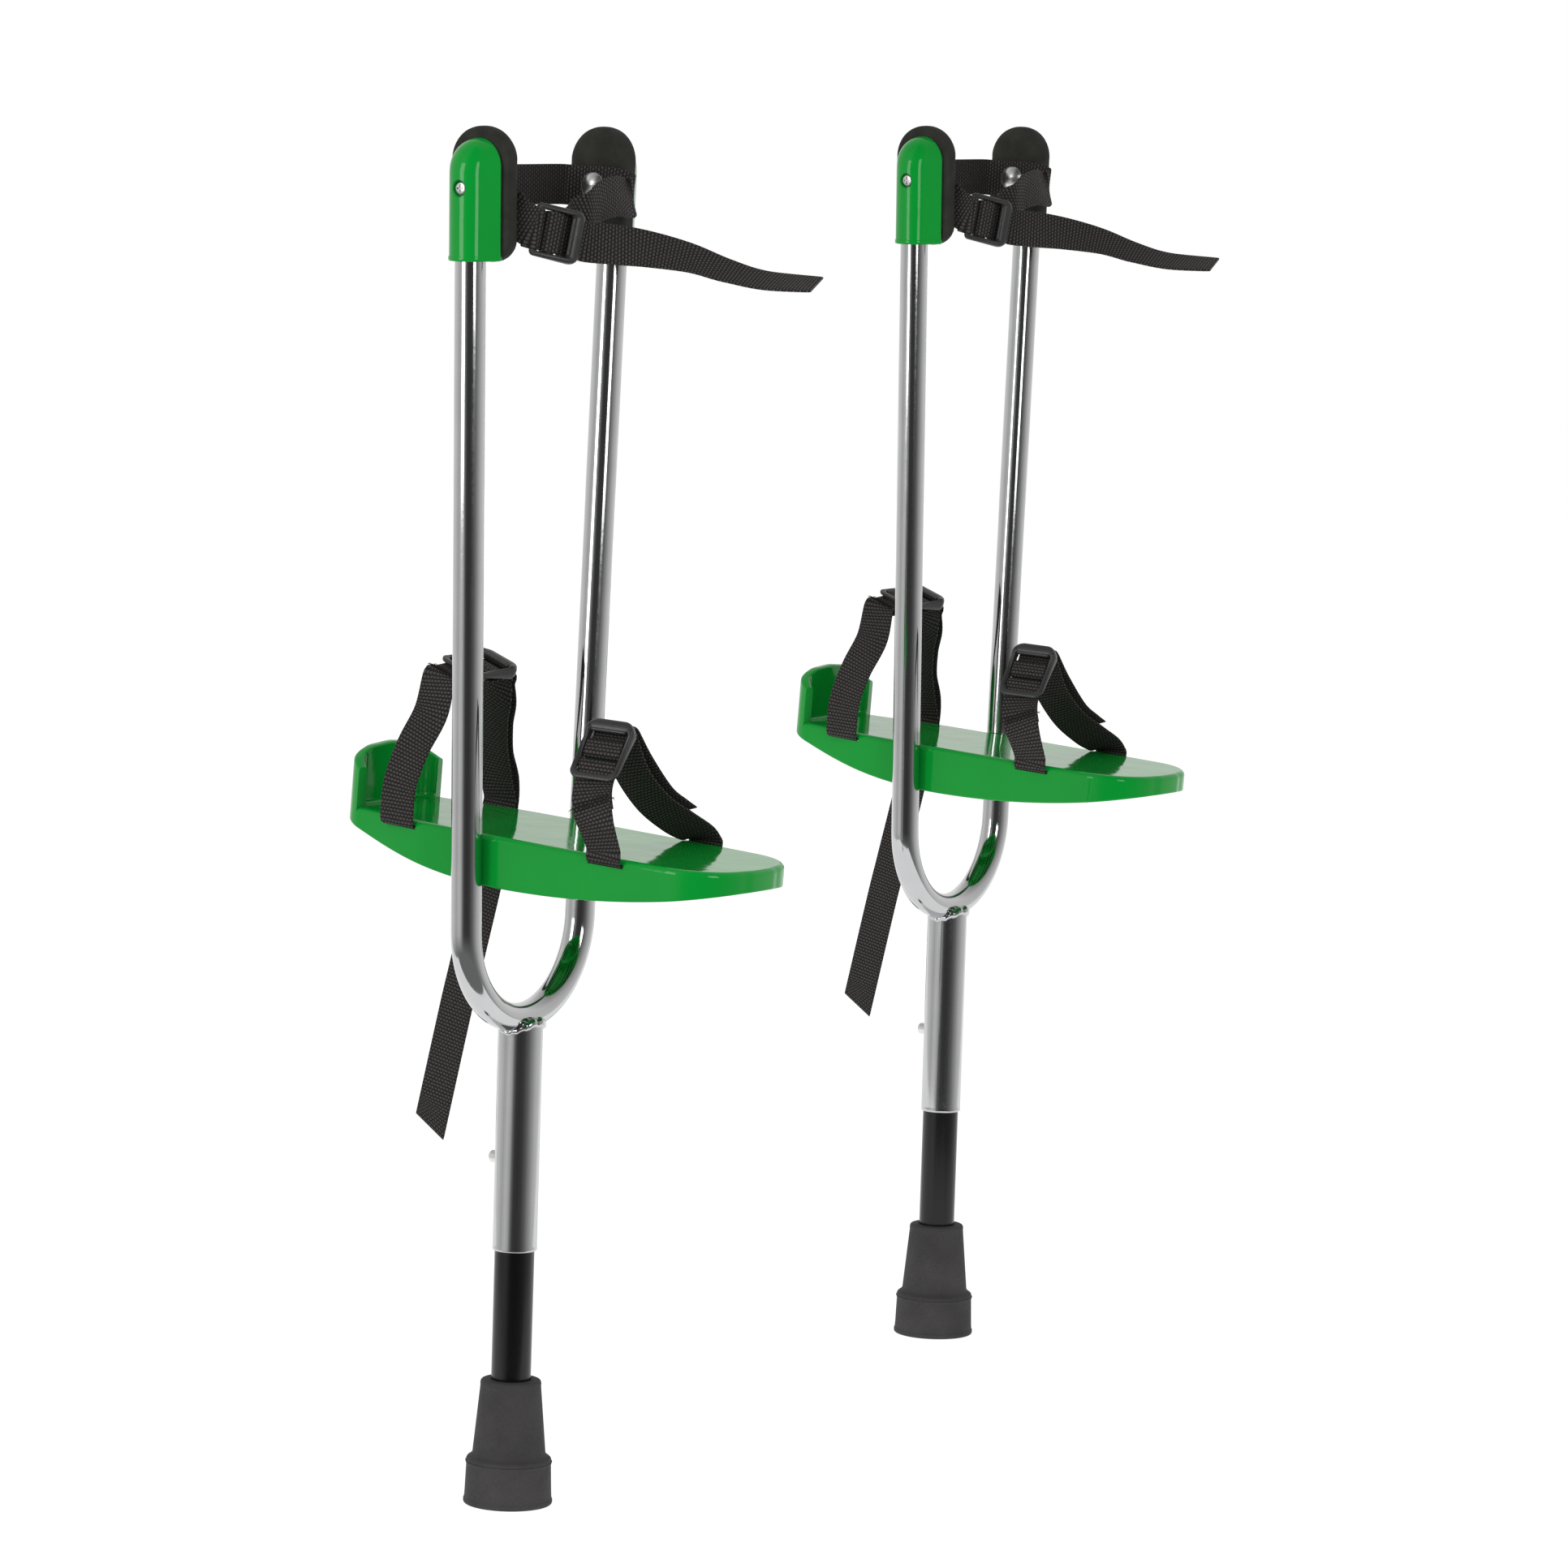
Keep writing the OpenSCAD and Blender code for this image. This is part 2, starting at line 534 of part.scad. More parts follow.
module peg_tube() {
    color("black") difference() {
        translate([0, 0, foot_floor + washer_t]) cylinder(d = peg_d, h = peg_top - foot_floor - washer_t);
        translate([0, 0, foot_floor]) cylinder(d = peg_bore, h = peg_top);
        translate([-peg_d / 2, 0, button_z]) rotate([0, 90, 0])
            cylinder(d = button_d + 2 * slide_gap, h = peg_d - 2, center = true);
    }
}

// snap button: a V-shaped leaf spring in the peg, with the button and the flange that stops it
leaf_t = 0.8;
leaf_w = 8;
flange_t = 1.2;
flange_d = button_d + 2.4;
flange_x = 0.3 - sqrt(pow(peg_bore / 2, 2) - pow(flange_d / 2, 2));
module snap_button() {
    front = flange_x + flange_t - 0.2;
    back = sqrt(pow(peg_bore / 2, 2) - pow(leaf_w / 2, 2)) - 0.1;
    color("silver") translate([0, 0, button_z]) {
        rotate([0, -90, 0]) rotate_extrude() polygon([
            [0, -flange_x - flange_t], [flange_d / 2, -flange_x - flange_t], [flange_d / 2, -flange_x],
            [button_d / 2, -flange_x], [button_d / 2, button_reach - 1.6],
            [button_d / 2 - 0.6, button_reach - 0.6], [button_d / 2 - 1.8, button_reach],
            [0, button_reach]]);
        translate([0, leaf_w / 2, 0]) rotate([90, 0, 0]) linear_extrude(leaf_w) polygon([
            [front, 6], [front + leaf_t, 6], [front + leaf_t, -6], [back - leaf_t - 1, -46],
            [back - leaf_t, -40], [back - leaf_t, 8], [back, 8], [back, -41], [back - 1, -48],
            [back - 2.5, -48], [front, -7]]);
    }
}

module rubber_foot() {
    r = foot_d / 2;
    n = foot_neck / 2;
    c = foot_cone / 2;
    b = peg_d / 2 + snug;
    color("dimgray") difference() {
        rotate_extrude() polygon([[0, 0], [r - 1, 0], [r, 1], [r, 4], [r - 0.8, 7], [r - 1.2, foot_base - 6],
            [r - 2, foot_base - 2.6], [c + 1.5, foot_base - 0.4], [c, foot_base + 1], [n + 0.3, foot_h - 3],
            [n - 1.2, foot_h], [b, foot_h], [b, foot_floor], [0, foot_floor]]);
        for (d = [0.36, 0.66]) translate([0, 0, -1]) difference() {
            cylinder(r = d * r + 1.5, h = 3);
            translate([0, 0, -1]) cylinder(r = d * r - 1.5, h = 5);
        }
    }
}
module foot_washer() {
    color("silver") translate([0, 0, foot_floor]) difference() {
        cylinder(d = peg_d - 0.4, h = washer_t);
        translate([0, 0, -1]) cylinder(d = 8, h = washer_t + 2);
    }
}

// each piece stands at the right stilt and again at the left one, whose outer side is the other one
module piece(name, outer) {
    if (name == "fork_tube") fork_tube();
    if (name == "stem_tube") stem_tube();
    if (name == "stem_weld") stem_weld();
    if (name == "foot_plate") foot_plate();
    if (name == "plate_screws") plate_screws();
    if (name == "outer_cap") cap(outer);
    if (name == "inner_cap") cap(-outer);
    if (name == "outer_pad") pad(outer);
    if (name == "inner_pad") pad(-outer);
    if (name == "cap_screws") cap_screws();
    if (name == "dome_nuts") dome_nuts();
    if (name == "knee_strap") knee_strap();
    if (name == "knee_buckle") buckle(knee_axes, false);
    if (name == "ankle_strap") ankle_strap();
    if (name == "ankle_buckle") buckle(ankle_axes, true);
    if (name == "toe_strap") toe_strap();
    if (name == "toe_buckle") buckle(toe_axes, true);
    if (name == "peg_tube") peg_tube();
    if (name == "rubber_foot") rubber_foot();
    if (name == "foot_washer") foot_washer();
    if (name == "snap_button") snap_button();
}
for (p = PIECES) {
    piece(p, -1);
    translate([-pair_back, pair_apart, 0]) piece(p, 1);
}
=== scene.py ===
"""The looks of a pair of peg stilts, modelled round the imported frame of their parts."""

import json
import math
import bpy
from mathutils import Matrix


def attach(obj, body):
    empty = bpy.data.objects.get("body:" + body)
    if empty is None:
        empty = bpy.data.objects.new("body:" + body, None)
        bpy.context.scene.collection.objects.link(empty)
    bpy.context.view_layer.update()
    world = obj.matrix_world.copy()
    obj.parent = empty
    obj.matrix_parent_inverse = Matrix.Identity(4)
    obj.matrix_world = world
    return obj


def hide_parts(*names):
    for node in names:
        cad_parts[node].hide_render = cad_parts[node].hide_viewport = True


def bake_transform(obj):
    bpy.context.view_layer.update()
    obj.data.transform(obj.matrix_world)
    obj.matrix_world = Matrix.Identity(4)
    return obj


bl_info = {
    "name": "Peg Stilts",
    "version": (1, 0, 0),
    "blender": (4, 5, 0),
    "location": "View3D > Sidebar > Stilts",
    "description": "Models and finishes the pieces of a pair of peg stilts round their frame",
    "category": "Object",
}

from types import SimpleNamespace

import bmesh
import bpy
import numpy as np
from bpy.props import FloatProperty, FloatVectorProperty, PointerProperty
from mathutils import Matrix, Vector

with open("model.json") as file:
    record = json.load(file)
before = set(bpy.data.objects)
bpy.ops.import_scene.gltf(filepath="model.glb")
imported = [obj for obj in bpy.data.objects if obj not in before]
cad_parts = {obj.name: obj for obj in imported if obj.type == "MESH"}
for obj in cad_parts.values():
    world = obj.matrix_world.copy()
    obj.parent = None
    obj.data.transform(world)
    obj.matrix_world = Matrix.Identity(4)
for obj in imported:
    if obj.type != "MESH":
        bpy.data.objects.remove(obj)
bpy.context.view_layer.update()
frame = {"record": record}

MM = 0.001
SIDES = ("right", "left")
LEGS = (-1, 1)
FINISH = "stilt_"
MOUNTS = {mount["name"]: mount for mount in frame["record"]["mounts"]}

# Height settings of the peg.
HOLES = 3

# Buckles, in millimetres: free room between layers, place and radius of the sewn end's bar, and half the
# thickness of the bridge.
PLY_GAP = 0.3
BAR_U = 13.8
BAR_R = 2.0
HALF_BAR = 1.5

# Stage: the sensor is in millimetres, the rest in metres. The lamps stand round the middle of the pair, and
# each has a name, degrees to the right of the camera, width, height, lower edge and share of the power.
SENSOR = 36
WHITE = (1.0, 1.0, 1.0, 1.0)
PAIR_MIDDLE = (0.05, 0.3)
BOX_REACH = 2.4
BOXES = (
    ("right box", 27, 0.7, 1.4, 0.55, 0.5),
    ("left box", -46, 0.8, 1.6, 0.37, 0.62),
)

# The room: its light on matt surfaces, its ground, and its brightness by degrees to the right of the camera.
EVEN_LIGHT = 0.66
ROOM_FLOOR = (0.22, 0.22, 0.22, 1.0)
ROOM = (
    (-180, 1.0), (-140, 0.95), (-105, 0.84), (-77, 0.60), (-54, 0.78), (-38, 0.60), (-24, 0.18),
    (-13, 0.065), (6, 0.05), (26, 0.07), (47, 0.17), (69, 0.39), (95, 0.69), (131, 0.93), (160, 0.92),
    (180, 1.0),
)


def length(name, millimetres, description):
    """A length that the sidebar shows."""
    return FloatProperty(
        name=name, description=description, default=millimetres * MM, unit="LENGTH", precision=4
    )


def angle(name, degrees, description):
    """An angle that the sidebar shows."""
    return FloatProperty(name=name, description=description, default=math.radians(degrees), unit="ROTATION")


def colour(name, value, description):
    """A colour that the sidebar shows."""
    return FloatVectorProperty(
        name=name, description=description, default=value, subtype="COLOR", size=3, min=0.0, max=1.0
    )


class StiltFork(bpy.types.PropertyGroup):
    """Sizes of the fork, the stem and the peg."""

    tube_d: length("Fork tube", 19, "Outside diameter of the fork tube")
    bend_r: length("Bend radius", 61, "Radius of the fork's bend to the middle of the tube")
    bend_z: length("Bend height", 308, "Height of the lowest point of the bend's middle line")
    splay: angle("Splay", 2, "Outward lean of each fork leg")
    fork_leg: length("Leg length", 475, "Length of each straight fork leg")
    stem_d: length("Stem", 28, "Outside diameter of the stem")
    stem_z: length("Stem end", 161, "Height of the stem's lower end")
    peg_d: length("Peg", 25, "Outside diameter of the peg tube")
    peg_wall: length("Peg wall", 1.5, "Wall of the peg tube")
    button_z: length("Button height", 218, "Height of the spring button")
    button_d: length("Button", 8, "Diameter of the spring button")
    button_out: length("Button reach", 6, "How far the button stands out of the stem")
    hole_pitch: length("Hole pitch", 25, "Distance from one height setting to the next")
    foot_d: length("Foot", 56, "Diameter of the rubber foot at the ground")
    foot_h: length("Foot height", 79, "Height of the rubber foot")
    foot_base: length("Foot base", 30, "Height of the foot's wide base")
    foot_cone: length("Foot cone", 46, "Diameter of the foot where its cone starts")
    foot_neck: length("Foot neck", 37, "Diameter of the foot at its top")
    foot_floor: length("Foot floor", 12, "Rubber under the peg")
    washer_t: length("Washer", 2, "Thickness of the washer in the foot")


class StiltPlate(bpy.types.PropertyGroup):
    """Sizes of the foot plate."""

    deck_z: length("Deck height", 428, "Height of the deck between the fork legs")
    deck_pitch: angle("Deck slope", 3.5, "Slope of the deck towards the toe")
    plate_front: length("Front reach", 178, "Reach of the plate in front of the fork")
    plate_back: length("Back reach", 112, "Reach of the plate behind the fork")
    plate_half: length("Half width", 53.64, "Half width of the plate at the fork")
    heel_half: length("Heel half width", 44, "Half width of the plate at the heel")
    heel_r: length("Heel corner", 17, "Corner radius at the heel")
    toe_r: length("Toe corner", 38, "Corner radius at the toe")
    edge_r: length("Edge rounding", 3.5, "Rounding of the deck's edge")
    deck_t: length("Deck", 2.6, "Thickness of the deck")
    wall_t: length("Wall", 3, "Thickness of the side walls")
    wall_mid: length("Wall depth", 32, "Depth of the side walls at the fork")
    wall_heel: length("Heel wall depth", 8, "Depth of the wall at the heel")
    wall_toe: length("Toe wall depth", 13, "Depth of the wall at the toe")
    stop_h: length("Heel stop height", 38, "Height of the heel stop over the deck")
    stop_t: length("Heel stop", 7, "Thickness of the heel stop")
    rib_t: length("Ribs", 2.5, "Thickness of the ribs under the deck")
    slot_down: length("Slot depth", 4.4, "Depth of the webbing slots below the deck")
    ankle_slot: length("Ankle slot", 60, "Place of the ankle strap's slots behind the fork")
    toe_slot: length("Toe slot", 97, "Place of the toe strap's slots in front of the fork")


class StiltCaps(bpy.types.PropertyGroup):
    """Sizes of the caps, the knee pads and their fastenings."""

    cap_r: length("Cap radius", 13, "Radius of the cap round the tube")
    cap_half: length("Cap half width", 17.5, "Half width of the cap's flat back")
    cap_back: length("Cap back", 8.5, "Distance of the cap's back from the middle of the tube")
    cap_len: length("Cap length", 74, "Length of the cap")
    dome_h: length("Cap dome", 22, "Height of the cap's domed end")
    cap_top: length("Cap top", 11, "Solid top of the cap over the tube's end")
    pad_w: length("Pad width", 43, "Width of a knee pad")
    pad_h: length("Pad height", 82, "Height of a knee pad")
    pad_t: length("Pad", 14, "Thickness of a knee pad")
    fix_down: length("Fastening", 30, "Distance of the knee fastening from the top of the cap")
    dome_d: length("Domed nut", 17, "Diameter of the domed nut's head")


class StiltWebbing(bpy.types.PropertyGroup):
    """Sizes of the straps and the buckles."""

    web_w: length("Webbing width", 25, "Width of the webbing")
    web_t: length("Webbing", 1.6, "Thickness of the webbing")
    web_gap: length("Free room", 0.4, "Free room round the webbing in a slot or a buckle")
    web_step: length("Row spacing", 1.5, "Distance from one modelled row of the webbing to the next")
    rail: length("Buckle rail", 5, "Width of a buckle's side rail")


class StiltColours(bpy.types.PropertyGroup):
    """Colours of the finishes."""

    chrome: colour("Chrome", (0.56, 0.565, 0.57), "Chromed tubes")
    green: colour("Green plastic", (0.002, 0.300, 0.032), "Moulded foot plate and caps")
    foam: colour("Foam", (0.029, 0.029, 0.024), "Knee pads")
    # The webbing's yarn colour for the threads' crowns carries a painted highlight, and its colour for the
    # gaps between them carries painted shade.
    yarn_and_sheen: colour("Yarn", (0.061, 0.054, 0.052), "High threads of the webbing")
    yarn_gap_and_shade: colour("Yarn gap", (0.0105, 0.0088, 0.0088), "Gaps between the threads of the webbing")
    buckle: colour("Buckle plastic", (0.030, 0.030, 0.030), "Moulded buckles")
    peg: colour("Peg finish", (0.0045, 0.0045, 0.005), "Black coating of the peg tube")
    rubber: colour("Rubber", (0.046, 0.043, 0.045), "Rubber foot")
    steel: colour("Bright steel", (0.78, 0.78, 0.77), "Nuts, screws and small fittings")


class StiltStage(bpy.types.PropertyGroup):
    """The camera and the light."""

    azimuth: angle("Azimuth", 32.957, "Side that the camera stands on, from the right stilt's outer side")
    elevation: angle("Elevation", 6.499, "Height of the camera over the horizon, as an angle")
    roll: angle("Roll", 1.851, "Turn of the camera about its view")
    distance: length("Distance", 4180.8, "Distance of the camera from the right stilt's sole along the view")
    shift_right: length("Right", 173.551, "Move of the camera to its right")
    shift_up: length("Up", 450.763, "Move of the camera upwards")
    focal: FloatProperty(
        name="Focal length", description="Focal length in mm on a 36 mm sensor", default=152.93
    )
    lamp_power: FloatProperty(
        name="Lamps", description="Power of the soft boxes", default=26.0, unit="POWER"
    )


GROUPS = {
    "stilt_fork": StiltFork,
    "stilt_plate": StiltPlate,
    "stilt_caps": StiltCaps,
    "stilt_webbing": StiltWebbing,
}
SETTINGS = {**GROUPS, "stilt_colours": StiltColours, "stilt_stage": StiltStage}


def sizes(context):
    """Every size of the sidebar, with lengths in millimetres, and the places that follow from them."""
    values = {}
    for key, group in GROUPS.items():
        settings = getattr(context.scene, key)
        for name in group.__annotations__:
            value = getattr(settings, name)
            is_length = settings.bl_rna.properties[name].unit == "LENGTH"
            values[name] = value / MM if is_length else value
    s = SimpleNamespace(**values)
    s.tube_r = s.tube_d / 2
    s.centre_z = s.bend_z + s.bend_r
    s.foot_y = s.bend_r * math.cos(s.splay)
    s.foot_z = s.centre_z - s.bend_r * math.sin(s.splay)
    s.cap_z = s.fork_leg + s.cap_top - s.cap_len
    s.fix_z = s.fork_leg + s.cap_top - s.fix_down
    s.pad_web = -s.cap_back - s.pad_t - PLY_GAP - s.web_t / 2
    s.knee_up = s.foot_z + s.fix_z * math.cos(s.splay)
    s.knee_y = s.foot_y + s.pad_web * math.cos(s.splay) + s.fix_z * math.sin(s.splay)
    s.window = s.web_w + 2 * s.web_gap
    return s


def unit(vector):
    """The vector at length 1."""
    return np.asarray(vector, float) / np.linalg.norm(vector)


def turn(count):
    """Even angles once round."""
    return np.arange(count) * 2 * math.pi / count


def ease(value, low, high):
    """A smooth step from 0 at low to 1 at high."""
    t = np.clip((value - low) / (high - low), 0, 1)
    return t * t * (3 - 2 * t)


def loft(rings, closed=False):
    """Points and faces of a skin through rings of equal count, with flat ends unless it closes on itself."""
    count = len(rings[0])
    rows = len(rings)
    faces = []
    for row in range(rows if closed else rows - 1):
        here = row * count
        there = (row + 1) % rows * count
        for i in range(count):
            j = (i + 1) % count
            faces.append((here + i, here + j, there + j, there + i))
    if not closed:
        faces.append(tuple(range(count)))
        faces.append(tuple(range((rows - 1) * count, rows * count)))
    return np.concatenate([np.asarray(ring, float) for ring in rings]), faces


def lathe(profile, count, closed=False):
    """A profile of (radius, height) turned about Z."""
    a = turn(count)
    rings = [np.stack([r * np.cos(a), r * np.sin(a), np.full(count, z)], axis=1) for r, z in profile]
    return loft(rings, closed)


def soften(corners, steps=4):
    """A closed polygon of (x, y, rounding) with its corners rounded."""
    points = []
    for i, (x, y, rounding) in enumerate(corners):
        here = np.array([x, y], float)
        if rounding == 0:
            points.append(here)
            continue
        start = here + rounding * unit(np.array(corners[i - 1][:2]) - here)
        end = here + rounding * unit(np.array(corners[(i + 1) % len(corners)][:2]) - here)
        for t in np.linspace(0, 1, steps + 1):
            points.append((1 - t) ** 2 * start + 2 * t * (1 - t) * here + t * t * end)
    return np.array(points)


def round_outline(circles, count):
    """The taut outline round circles of (x, y, radius), one point for each of the even directions."""
    a = turn(count)
    heading = np.stack([np.cos(a), np.sin(a)], axis=1)
    centres = np.array([circle[:2] for circle in circles], float)
    radii = np.array([circle[2] for circle in circles], float)
    best = (heading @ centres.T + radii).argmax(axis=1)
    return centres[best] + radii[best, None] * heading


def joined(shapes):
    """Several shapes as one."""
    points = []
    faces = []
    start = 0
    for shape_points, shape_faces in shapes:
        points.append(shape_points)
        faces += [tuple(start + i for i in face) for face in shape_faces]
        start += len(shape_points)
    return np.concatenate(points), faces


def block(low, high):
    """A box between two corners."""
    ring = [(low[0], low[1]), (high[0], low[1]), (high[0], high[1]), (low[0], high[1])]
    return loft([np.array([(x, y, z) for x, y in ring], float) for z in (low[2], high[2])])


def run_of(points):
    """Length along a line of points, from its start to each of them."""
    return np.concatenate([[0], np.cumsum(np.linalg.norm(np.diff(points, axis=0), axis=1))])


def thread_ring(along, aside):
    """Six points in a ring about a thread, of which the first is square to the direction aside."""
    axis = unit(along)
    side = unit(np.cross(axis, aside))
    a = turn(6)
    return np.outer(np.cos(a), side) + np.outer(np.sin(a), np.cross(axis, side))


def bead(centre, along, radius, half):
    """A short rod with tapered ends, such as one stitch."""
    ring = thread_ring(along, (0.3, 0.5, 0.81))
    rings = []
    for place, share in ((-1, 0.35), (-0.75, 0.85), (0, 1.0), (0.75, 0.85), (1, 0.35)):
        rings.append(centre + unit(along) * half * place + radius * share * ring)
    return loft(rings)


def strand(points, radius):
    """A thin thread through points, which tapers to half its radius."""
    points = np.asarray(points, float)
    path = np.gradient(points, axis=0)
    rings = []
    for i, point in enumerate(points):
        share = radius * (1 - 0.5 * i / len(points))
        rings.append(point + share * thread_ring(path[i], (0.31, 0.52, 0.79)))
    return loft(rings)


def on_leg(s, leg, shape):
    """A shape in a fork leg's own frame (across, outwards, up the tube), moved to the stilt."""
    points, faces = shape
    c = math.cos(s.splay)
    n = math.sin(s.splay)
    x, out, up = points.T
    return np.stack([x, leg * (s.foot_y + out * c + up * n), s.foot_z + up * c - out * n], axis=1), faces


def outwards(shape, up):
    """A shape turned about Z, laid so that its axis points outwards from a fork leg at the height up."""
    points, faces = shape
    return np.stack([points[:, 0], points[:, 2], up + points[:, 1]], axis=1), faces


def on_plate(s, shape):
    """A shape in the plate's own frame, moved to the stilt."""
    points, faces = shape
    c = math.cos(s.deck_pitch)
    n = math.sin(s.deck_pitch)
    x, y, z = points.T
    return np.stack([x * c + z * n, y, s.deck_z + z * c - x * n], axis=1), faces


def smoothed(mesh, sharp):
    """Smooth shading that keeps edges over the angle sharp, in degrees."""
    mesh.shade_smooth()
    mesh.set_sharp_from_angle(angle=math.radians(sharp))


def make(name, shape, sharp=40):
    """A mesh object from a shape in millimetres."""
    points, faces = shape
    mesh = bpy.data.meshes.new(name)
    mesh.from_pydata((points * MM).tolist(), [], faces)
    work = bmesh.new()
    work.from_mesh(mesh)
    bmesh.ops.recalc_face_normals(work, faces=work.faces)
    work.to_mesh(mesh)
    work.free()
    smoothed(mesh, sharp)
    piece = bpy.data.objects.new(name, mesh)
    bpy.context.scene.collection.objects.link(piece)
    return piece


def carve(piece, shape, operation="DIFFERENCE", sharp=40):
    """Cuts a shape out of a piece, or joins it on."""
    tool = make("tool", shape)
    change = piece.modifiers.new("carve", "BOOLEAN")
    change.operation = operation
    change.solver = "EXACT"
    change.use_self = operation == "UNION"
    change.object = tool
    ready = piece.evaluated_get(bpy.context.evaluated_depsgraph_get())
    mesh = bpy.data.meshes.new_from_object(ready)
    piece.modifiers.clear()
    spare = (piece.data, tool.data)
    piece.data = mesh
    bpy.data.objects.remove(tool)
    for old in spare:
        bpy.data.meshes.remove(old)
    if not mesh.polygons:
        raise RuntimeError("nothing is left of " + piece.name)
    smoothed(mesh, sharp)


def even_shading(piece):
    """Gives a moulded piece normals that keep its flat faces flat."""
    normals = piece.modifiers.new("even shading", "WEIGHTED_NORMAL")
    normals.keep_sharp = True
    return piece


def stand_pair(piece, word, stands_for, slot, body="frame", leg=0):
    """Finishes a piece of the right stilt, and stands a copy of it at the left one.

    The outer side is away from the other stilt, so the words outer and inner change places.
    """
    twin = piece.copy()
    twin.data = piece.data.copy()
    bpy.context.scene.collection.objects.link(twin)
    pair = [piece, twin]
    for side, made in zip(SIDES, pair):
        reach = "outer" if (leg < 0) == (side == SIDES[0]) else "inner"
        made.name = f"{side}_{word}".replace("LEG", reach)
        made.data.name = made.name
        made.data.transform(Matrix.Translation(Vector(MOUNTS[side + "_sole"]["pos_m"])))
        made.data.materials.clear()
        made.data.materials.append(bpy.data.materials[FINISH + slot])
        if body:
            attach(made, f"{side}_{body}")
        if stands_for:
            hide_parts(f"{side}_{stands_for}".replace("LEG", reach))
    return pair


def fork_shape(s):
    """The fork: two splayed legs and a bend whose section is a little flattened, as a bent tube's is."""
    c = math.cos(s.splay)
    n = math.sin(s.splay)
    legs = [s.fork_leg, 0.75 * s.fork_leg, 0.5 * s.fork_leg, 0.25 * s.fork_leg, 30, 10]
    stations = [(-s.foot_y - h * n, s.foot_z + h * c, n, -c, 0) for h in legs]
    reach = math.pi / 2 - s.splay
    for phi in np.linspace(-reach, reach, 61):
        flat = ease(reach - abs(phi), 0, 0.5)
        stations.append((s.bend_r * math.sin(phi), s.centre_z - s.bend_r * math.cos(phi),
                         math.cos(phi), math.sin(phi), flat))
    stations += [(s.foot_y + h * n, s.foot_z + h * c, n, c, 0) for h in reversed(legs)]
    a = turn(64)
    wider = 0.012
    flatter = 0.035
    rings = []
    for y, z, ty, tz, flat in stations:
        across = s.tube_r * (1 + wider * flat) * np.cos(a)
        over = s.tube_r * (1 - flatter * flat) * np.sin(a)
        rings.append(np.stack([across, y - tz * over, z + ty * over], axis=1))
    return loft(rings)


def button_hole(s, room, out, up=0.0):
    """A cutter for a hole in the back of a tube of radius out, higher than the button by up."""
    r = s.button_d / 2 + room
    points, faces = lathe([(r, -out - 3), (r, -4)], 40)
    return np.stack([points[:, 2], points[:, 0], points[:, 1] + s.button_z + up], axis=1), faces


def stem_piece(s):
    """The stem with its lower lip and its row of holes."""
    out = s.stem_d / 2
    bore = s.peg_d / 2 + 0.08
    top = s.bend_z - 3
    profile = soften([(out, s.stem_z, 0.7), (out + 0.12, s.stem_z + 1.4, 0.5), (out, s.stem_z + 3, 0.5),
                      (out, top, 0.4), (bore, top, 0.4), (bore, s.stem_z, 0.5)])
    piece = make("stem", lathe(profile, 96, closed=True), 30)
    holes = [button_hole(s, room=0.15, out=out, up=i * s.hole_pitch) for i in range(HOLES)]
    carve(piece, joined(holes), sharp=30)
    return piece


def weld_shape(s):
    """A lumpy weld bead round the top of the stem, low under the bend and high at its sides."""
    around = turn(200)
    a = turn(18)
    lump = 0.5 * np.sin(9 * around + 0.7) + 0.3 * np.sin(17 * around + 2.0) + 0.2 * np.sin(33 * around)
    side = np.abs(np.cos(around))
    size = 1.7 + 1.1 * side + 0.34 * lump
    reach = s.stem_d / 2 - 0.7 + 0.25 * np.sin(7 * around + 1.1)
    height = s.bend_z - 8.4 + 6.4 * side ** 1.5 + 0.35 * np.sin(13 * around)
    rings = []
    for i, phi in enumerate(around):
        r = reach[i] + size[i] * np.cos(a)
        z = height[i] + 1.1 * size[i] * np.sin(a)
        rings.append(np.stack([r * math.cos(phi), r * math.sin(phi), z], axis=1))
    return loft(rings, closed=True)


def peg_piece(s):
    """The peg tube with the hole of its button."""
    out = s.peg_d / 2
    bore = out - s.peg_wall
    low = s.foot_floor + s.washer_t
    top = s.button_z + 22
    profile = soften([(out, low, 0.4), (out, top, 0.6), (bore, top, 0.4), (bore, low, 0.3)])
    piece = make("peg", lathe(profile, 96, closed=True), 30)
    carve(piece, button_hole(s, room=0.05, out=out), sharp=30)
    return piece


def foot_shape(s):
    """The rubber foot: a flared base with a thin flash, a shoulder, a cone and rings in its sole."""
    r = s.foot_d / 2
    cone = s.foot_cone / 2
    neck = s.foot_neck / 2
    bore = s.peg_d / 2 + 0.02
    base = s.foot_base
    groove = ((-1.5, 0), (-1.3, 2), (1.3, 2), (1.5, 0))
    sole = [(share * r + aside, deep, 0.4) for share in (0.36, 0.66) for aside, deep in groove]
    corners = [(0.4, s.foot_floor, 0), (0.4, 0, 0)] + sole + [
        (r - 0.6, 0, 0.8), (r, 1.0, 0.5), (r, 3.0, 0.6), (r - 0.55, 3.9, 0.4), (r - 0.75, 7.0, 1.5),
        (r - 1.4, base - 4.6, 1.5), (r - 1.1, base - 4.0, 0.4), (r - 1.3, base - 1.0, 1.4),
        (cone + 1.4, base + 0.4, 1.2), (cone, base + 2.0, 1.0), (neck + 0.5, s.foot_h - 3.6, 1.0),
        (neck + 0.7, s.foot_h - 2.6, 0.6), (neck + 0.2, s.foot_h - 0.2, 1.6), (bore, s.foot_h, 0.5),
        (bore, s.foot_floor, 0.5)]
    return lathe(soften(corners, 5), 128, closed=True)


